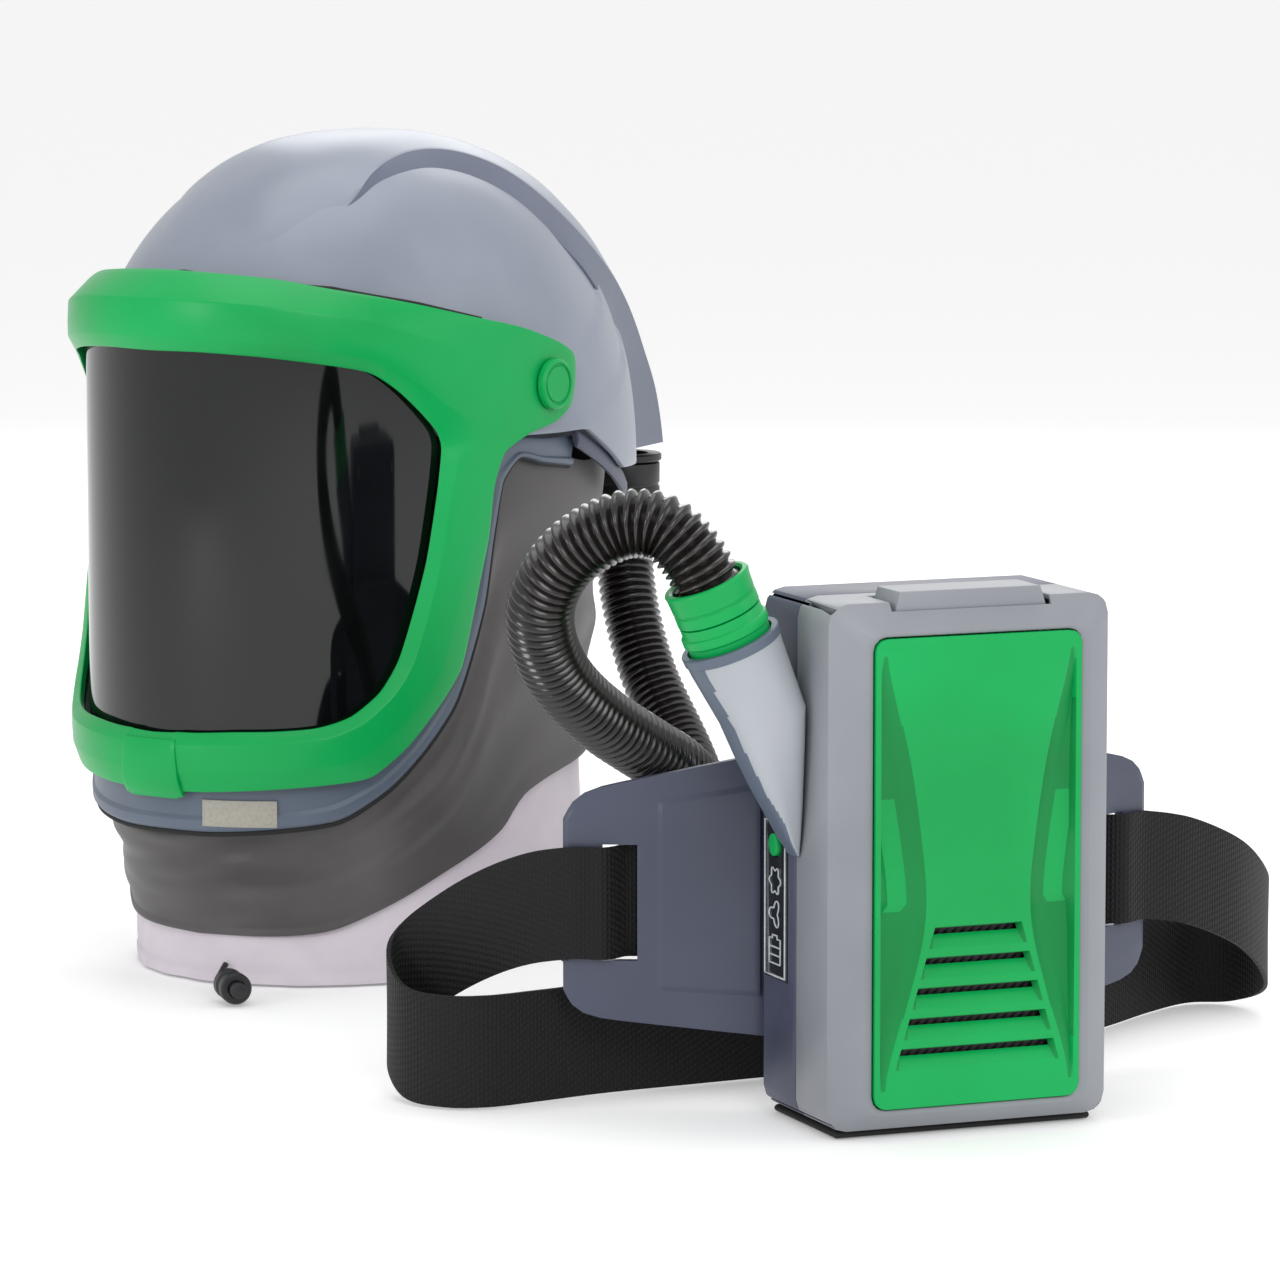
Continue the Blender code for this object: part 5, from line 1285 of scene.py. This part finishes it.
spout_rows = [[spout_section(k, reach, front, rear, z) for k in range(SPOUT_SIDES)] for z, reach, front, rear in SPOUT]
spout_rows += [[mouth_point(k, back, r) for k in range(SPOUT_SIDES)] for back, r in SPOUT_MOUTH]
fine_rows = []
for a, b in zip(spout_rows[:len(SPOUT)], spout_rows[1:]):
    for j in range(SPOUT_STEPS):
        fine_rows.append([p.lerp(q, j / SPOUT_STEPS) for p, q in zip(a, b)])
fine_rows += spout_rows[len(SPOUT):]
spout = surface("outlet_duct", SPOUT_SIDES, len(fine_rows) - 1, lambda c, r: fine_rows[r][c % SPOUT_SIDES] * MM,
                around=True)
for v in spout.data.vertices:
    v.co.x = min(v.co.x, UNIT_SIDE * MM)
faced_out(spout)
outward = sum(f.normal.dot(f.center - MOUTH * MM * 0.9) * f.area for f in spout.data.polygons if f.center.z < 0.2)
if outward < 0:
    all_of(spout, lambda: bpy.ops.mesh.flip_normals())
for face in spout.data.polygons:
    lip = (face.center / MM - MOUTH).dot(AXIS) > -5.0
    outer_side = face.center.x < UNIT_SIDE * MM and face.normal.x < -0.55 and face.center.y > -0.010
    face.material_index = 1 if face.center.y > -0.003 or lip or outer_side else 0
eased(spout, 0, smooth=32)
spout_grey = moulded("light grey spout plastic", ("#9a9ea6", "#a3a7ae", "#acb0b6"), 0.38, 0.6, 0.04)
done(spout, spout_grey, "respirator", "outlet_spout", "unit_grey", jaw_plastic)

# %% [markdown]
# The hose ends in a two-part green swivel: a collar that turns in the spout and a cuff that grips the
# hose.  Both are turned rings.  The cuff has a parting groove and a rolled top, and the collar a rib.

# %% Collar and cuff
COLLAR = [(18.3, -8), (18.3, 2.0), (18.5, 3.0), (19.4, 3.6), (19.4, 7.2), (18.5, 7.8), (18.3, 8.4), (18.3, 12.0),
          (13.6, 12.0), (13.6, -8.0), (18.3, -8)]
CUFF = [(15.4, 12.4), (17.9, 12.4), (18.5, 13.0), (18.5, 17.6), (18.0, 17.9), (18.0, 18.5), (18.5, 18.8), (18.8, 25.4),
        (19.2, 27.2), (18.6, 28.2), (16.9, 28.3), (15.5, 27.4), (15.4, 12.4)]
TAIL_CUFF = [(15.4, 0), (17.6, 0), (18.5, 1), (18.5, 4), (17.9, 4.4), (17.9, 6.0), (18.5, 6.4), (18.5, 16.4), (15.4, 17.0),
             (15.4, 0)]
collar = turned("swivel_collar", COLLAR, MOUTH, AXIS)
eased(collar, 0.25, angle=40, smooth=30)
done(collar, green_plastic, "collar", "lock_collar", "green")
cuff = turned("swivel_cuff", CUFF, MOUTH, AXIS)
eased(cuff, 0.2, angle=45, smooth=30)
done(cuff, green_plastic, "respirator", "hose_cuff", "green")
tail_cuff = helmet_turned("nape_cuff", TAIL_CUFF, (NAPE_X, NAPE_Y, 214.0), (0, 0, 1))
eased(tail_cuff, 0.2, angle=45, smooth=30)
done(tail_cuff, black_plastic, "respirator", "helmet_hose_cuff", "black_plastic")

# %% [markdown]
# The belt plate spreads the load on the back.  It is a bent panel with rounded corners, a slot in
# each wing and a raised pad inside the slot.  The grid has columns and rows at the slots' edges, so
# the slots are faces taken out before the wall is given.

# %% Belt plate
PLATE_LOW = [(0, 30.0), (48, 30.0), (90, 35.0), (126, 39.0), (134, 41.5), (139, 45.5), (142, 52.0)]
PLATE_HIGH = [(0, 160.0), (48, 160.0), (90, 151.0), (126, 142.5), (134, 139.0), (139, 134.5), (142, 128.0)]
wing_columns = [0, 8, 16, 24, 32, 40, 48, 56, 62, 63.5, 66, 74, 82, 90, 97, 103.5, 105, 108, 113, 120, 127, 130, 134,
                136.5, 138.5, 140.2, 141.4, 142]
plate_columns = [-x for x in reversed(wing_columns[1:])] + wing_columns
SLOT_LOW, SLOT_HIGH, SLOT_IN, SLOT_OUT = 65.2, 116.8, 113, 127
PLATE_MARKS = [0.0, 0.03, 0.08, 0.14, 0.16, 0.2, *[None] * 6, 0.84, 0.88, 0.9, 0.95, 0.975, 1.0]


def plate_point(column, row):
    x = plate_columns[column]
    low, high = reading(PLATE_LOW, abs(x)), reading(PLATE_HIGH, abs(x))
    if 6 <= row <= 11:                 # the rows from the slots' lower to their upper edge
        z = SLOT_LOW + (SLOT_HIGH - SLOT_LOW) * (row - 6) / 5
    else:
        z = low + (high - low) * PLATE_MARKS[row]
    lift = 1.6 if 63.5 <= abs(x) <= 103.5 and 4 <= row <= 13 else 0.0
    rim = 0.9 if (row in (0, 1, 16, 17) or abs(x) > 140.5) else 0.0
    return Vector((x, plate_front(x) - lift + rim, z)) * MM


plate = surface("belt_back_plate", len(plate_columns) - 1, len(PLATE_MARKS) - 1, plate_point, core=(0, 0.2, 0.09))
edit(plate, 'FACE', lambda c, n: SLOT_IN < abs(c.x) / MM < SLOT_OUT and SLOT_LOW < c.z / MM < SLOT_HIGH,
     lambda: bpy.ops.mesh.delete(type='FACE'))
walled(plate, 4.6)
eased(plate, 0.7, angle=24, smooth=28)
done(plate, slate_plastic, "respirator", "belt_plate", "slate")

# %% [markdown]
# A side-release buckle joins the belt behind the unit.  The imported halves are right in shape, and
# rounding their edges makes them look moulded.

# %% Buckle, screws and controls
refined("buckle_socket", black_plastic, 1.2, "black_plastic")
refined("buckle_plug", black_plastic, 0.8, "black_plastic")
for k in range(1, 5):
    refined(f"housing_screw_{k}", steel, 0.5, "steel")
panel_gloss = moulded("glossy black polycarbonate panel", ("#0c0e10", "#101316", "#15181b"), 0.14, 1.0, 0.01)
refined("control_panel", panel_gloss, 0.3, "black_plastic")
refined("power_button", green_plastic, 0.5, "green")

# %% [markdown]
# The control strip has a thin pale frame and three outline signs for the filter, the fan and the
# battery.  Each is a thin wire laid on the panel.

# %% Control signs
sign_ink = plain("pale grey printed ink", "#b9bfc4", 0.5)
tree = sign_ink.node_tree
place = add(tree, 'ShaderNodeTexCoord').outputs["Object"]
speck = add(tree, 'ShaderNodeTexNoise', {"Scale": 900.0, "Detail": 2.0}, Vector=place).outputs[0]
tint = add(tree, 'ShaderNodeValToRGB', {"stops": ((0.3, "#a9afb4"), (0.7, "#c6cbd0"))}, Fac=speck)
feed(sign_ink, Base_Color=tint.outputs["Color"])


def wire(name, line, radius, closed=True):
    """A thin outline on the unit's left side through (y, z) points in millimetres."""
    pts = [Vector((-66.75, y, z)) * MM for y, z in line]
    dense = []
    for a, b in zip(pts, pts[1:] + pts[:1] if closed else pts[1:]):
        dense += [a.lerp(b, j / 3) for j in range(3)]
    dense += [pts[0]] if closed else [pts[-1]]
    ob = cord_shape(name, dense, radius, 6)
    return done(ob, sign_ink, "respirator")


def round_line(y, z, r, count, wave, petals):
    """A closed outline round (y, z) whose radius swings petals times."""
    turns = [2 * math.pi * k / count for k in range(count)]
    return [(y + (r + wave * math.cos(petals * a)) * math.cos(a), z + (r + wave * math.cos(petals * a)) * math.sin(a))
            for a in turns]


wire("panel_frame", [(10.6, 63.1), (32.4, 63.1), (32.4, 130.9), (10.6, 130.9)], 0.45)
wire("sign_filter", round_line(21.5, 105, 5.4, 36, 1.0, 6), 0.35)
wire("sign_fan", round_line(21.5, 90.5, 4.6, 42, 1.8, 3), 0.35)
wire("sign_battery", [(15.5, 68.5), (27.5, 68.5), (27.5, 79.5), (24, 79.5), (24, 81), (19, 81), (19, 79.5), (15.5, 79.5)],
     0.35)
wire("sign_battery_bar", [(16.5, 72.2), (26.5, 72.2)], 0.35, closed=False)
wire("sign_battery_bar_2", [(16.5, 75.8), (26.5, 75.8)], 0.35, closed=False)
print("controls finished")

# %% [markdown]
# Last, the name of every imported piece that still shows is printed, and the box round the visual
# model is measured.

# %% List the pieces left and measure the model
for node, ob in frame["nodes"].items():
    if not ob.hide_render:
        print("still the packed piece:", node)
low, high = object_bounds()
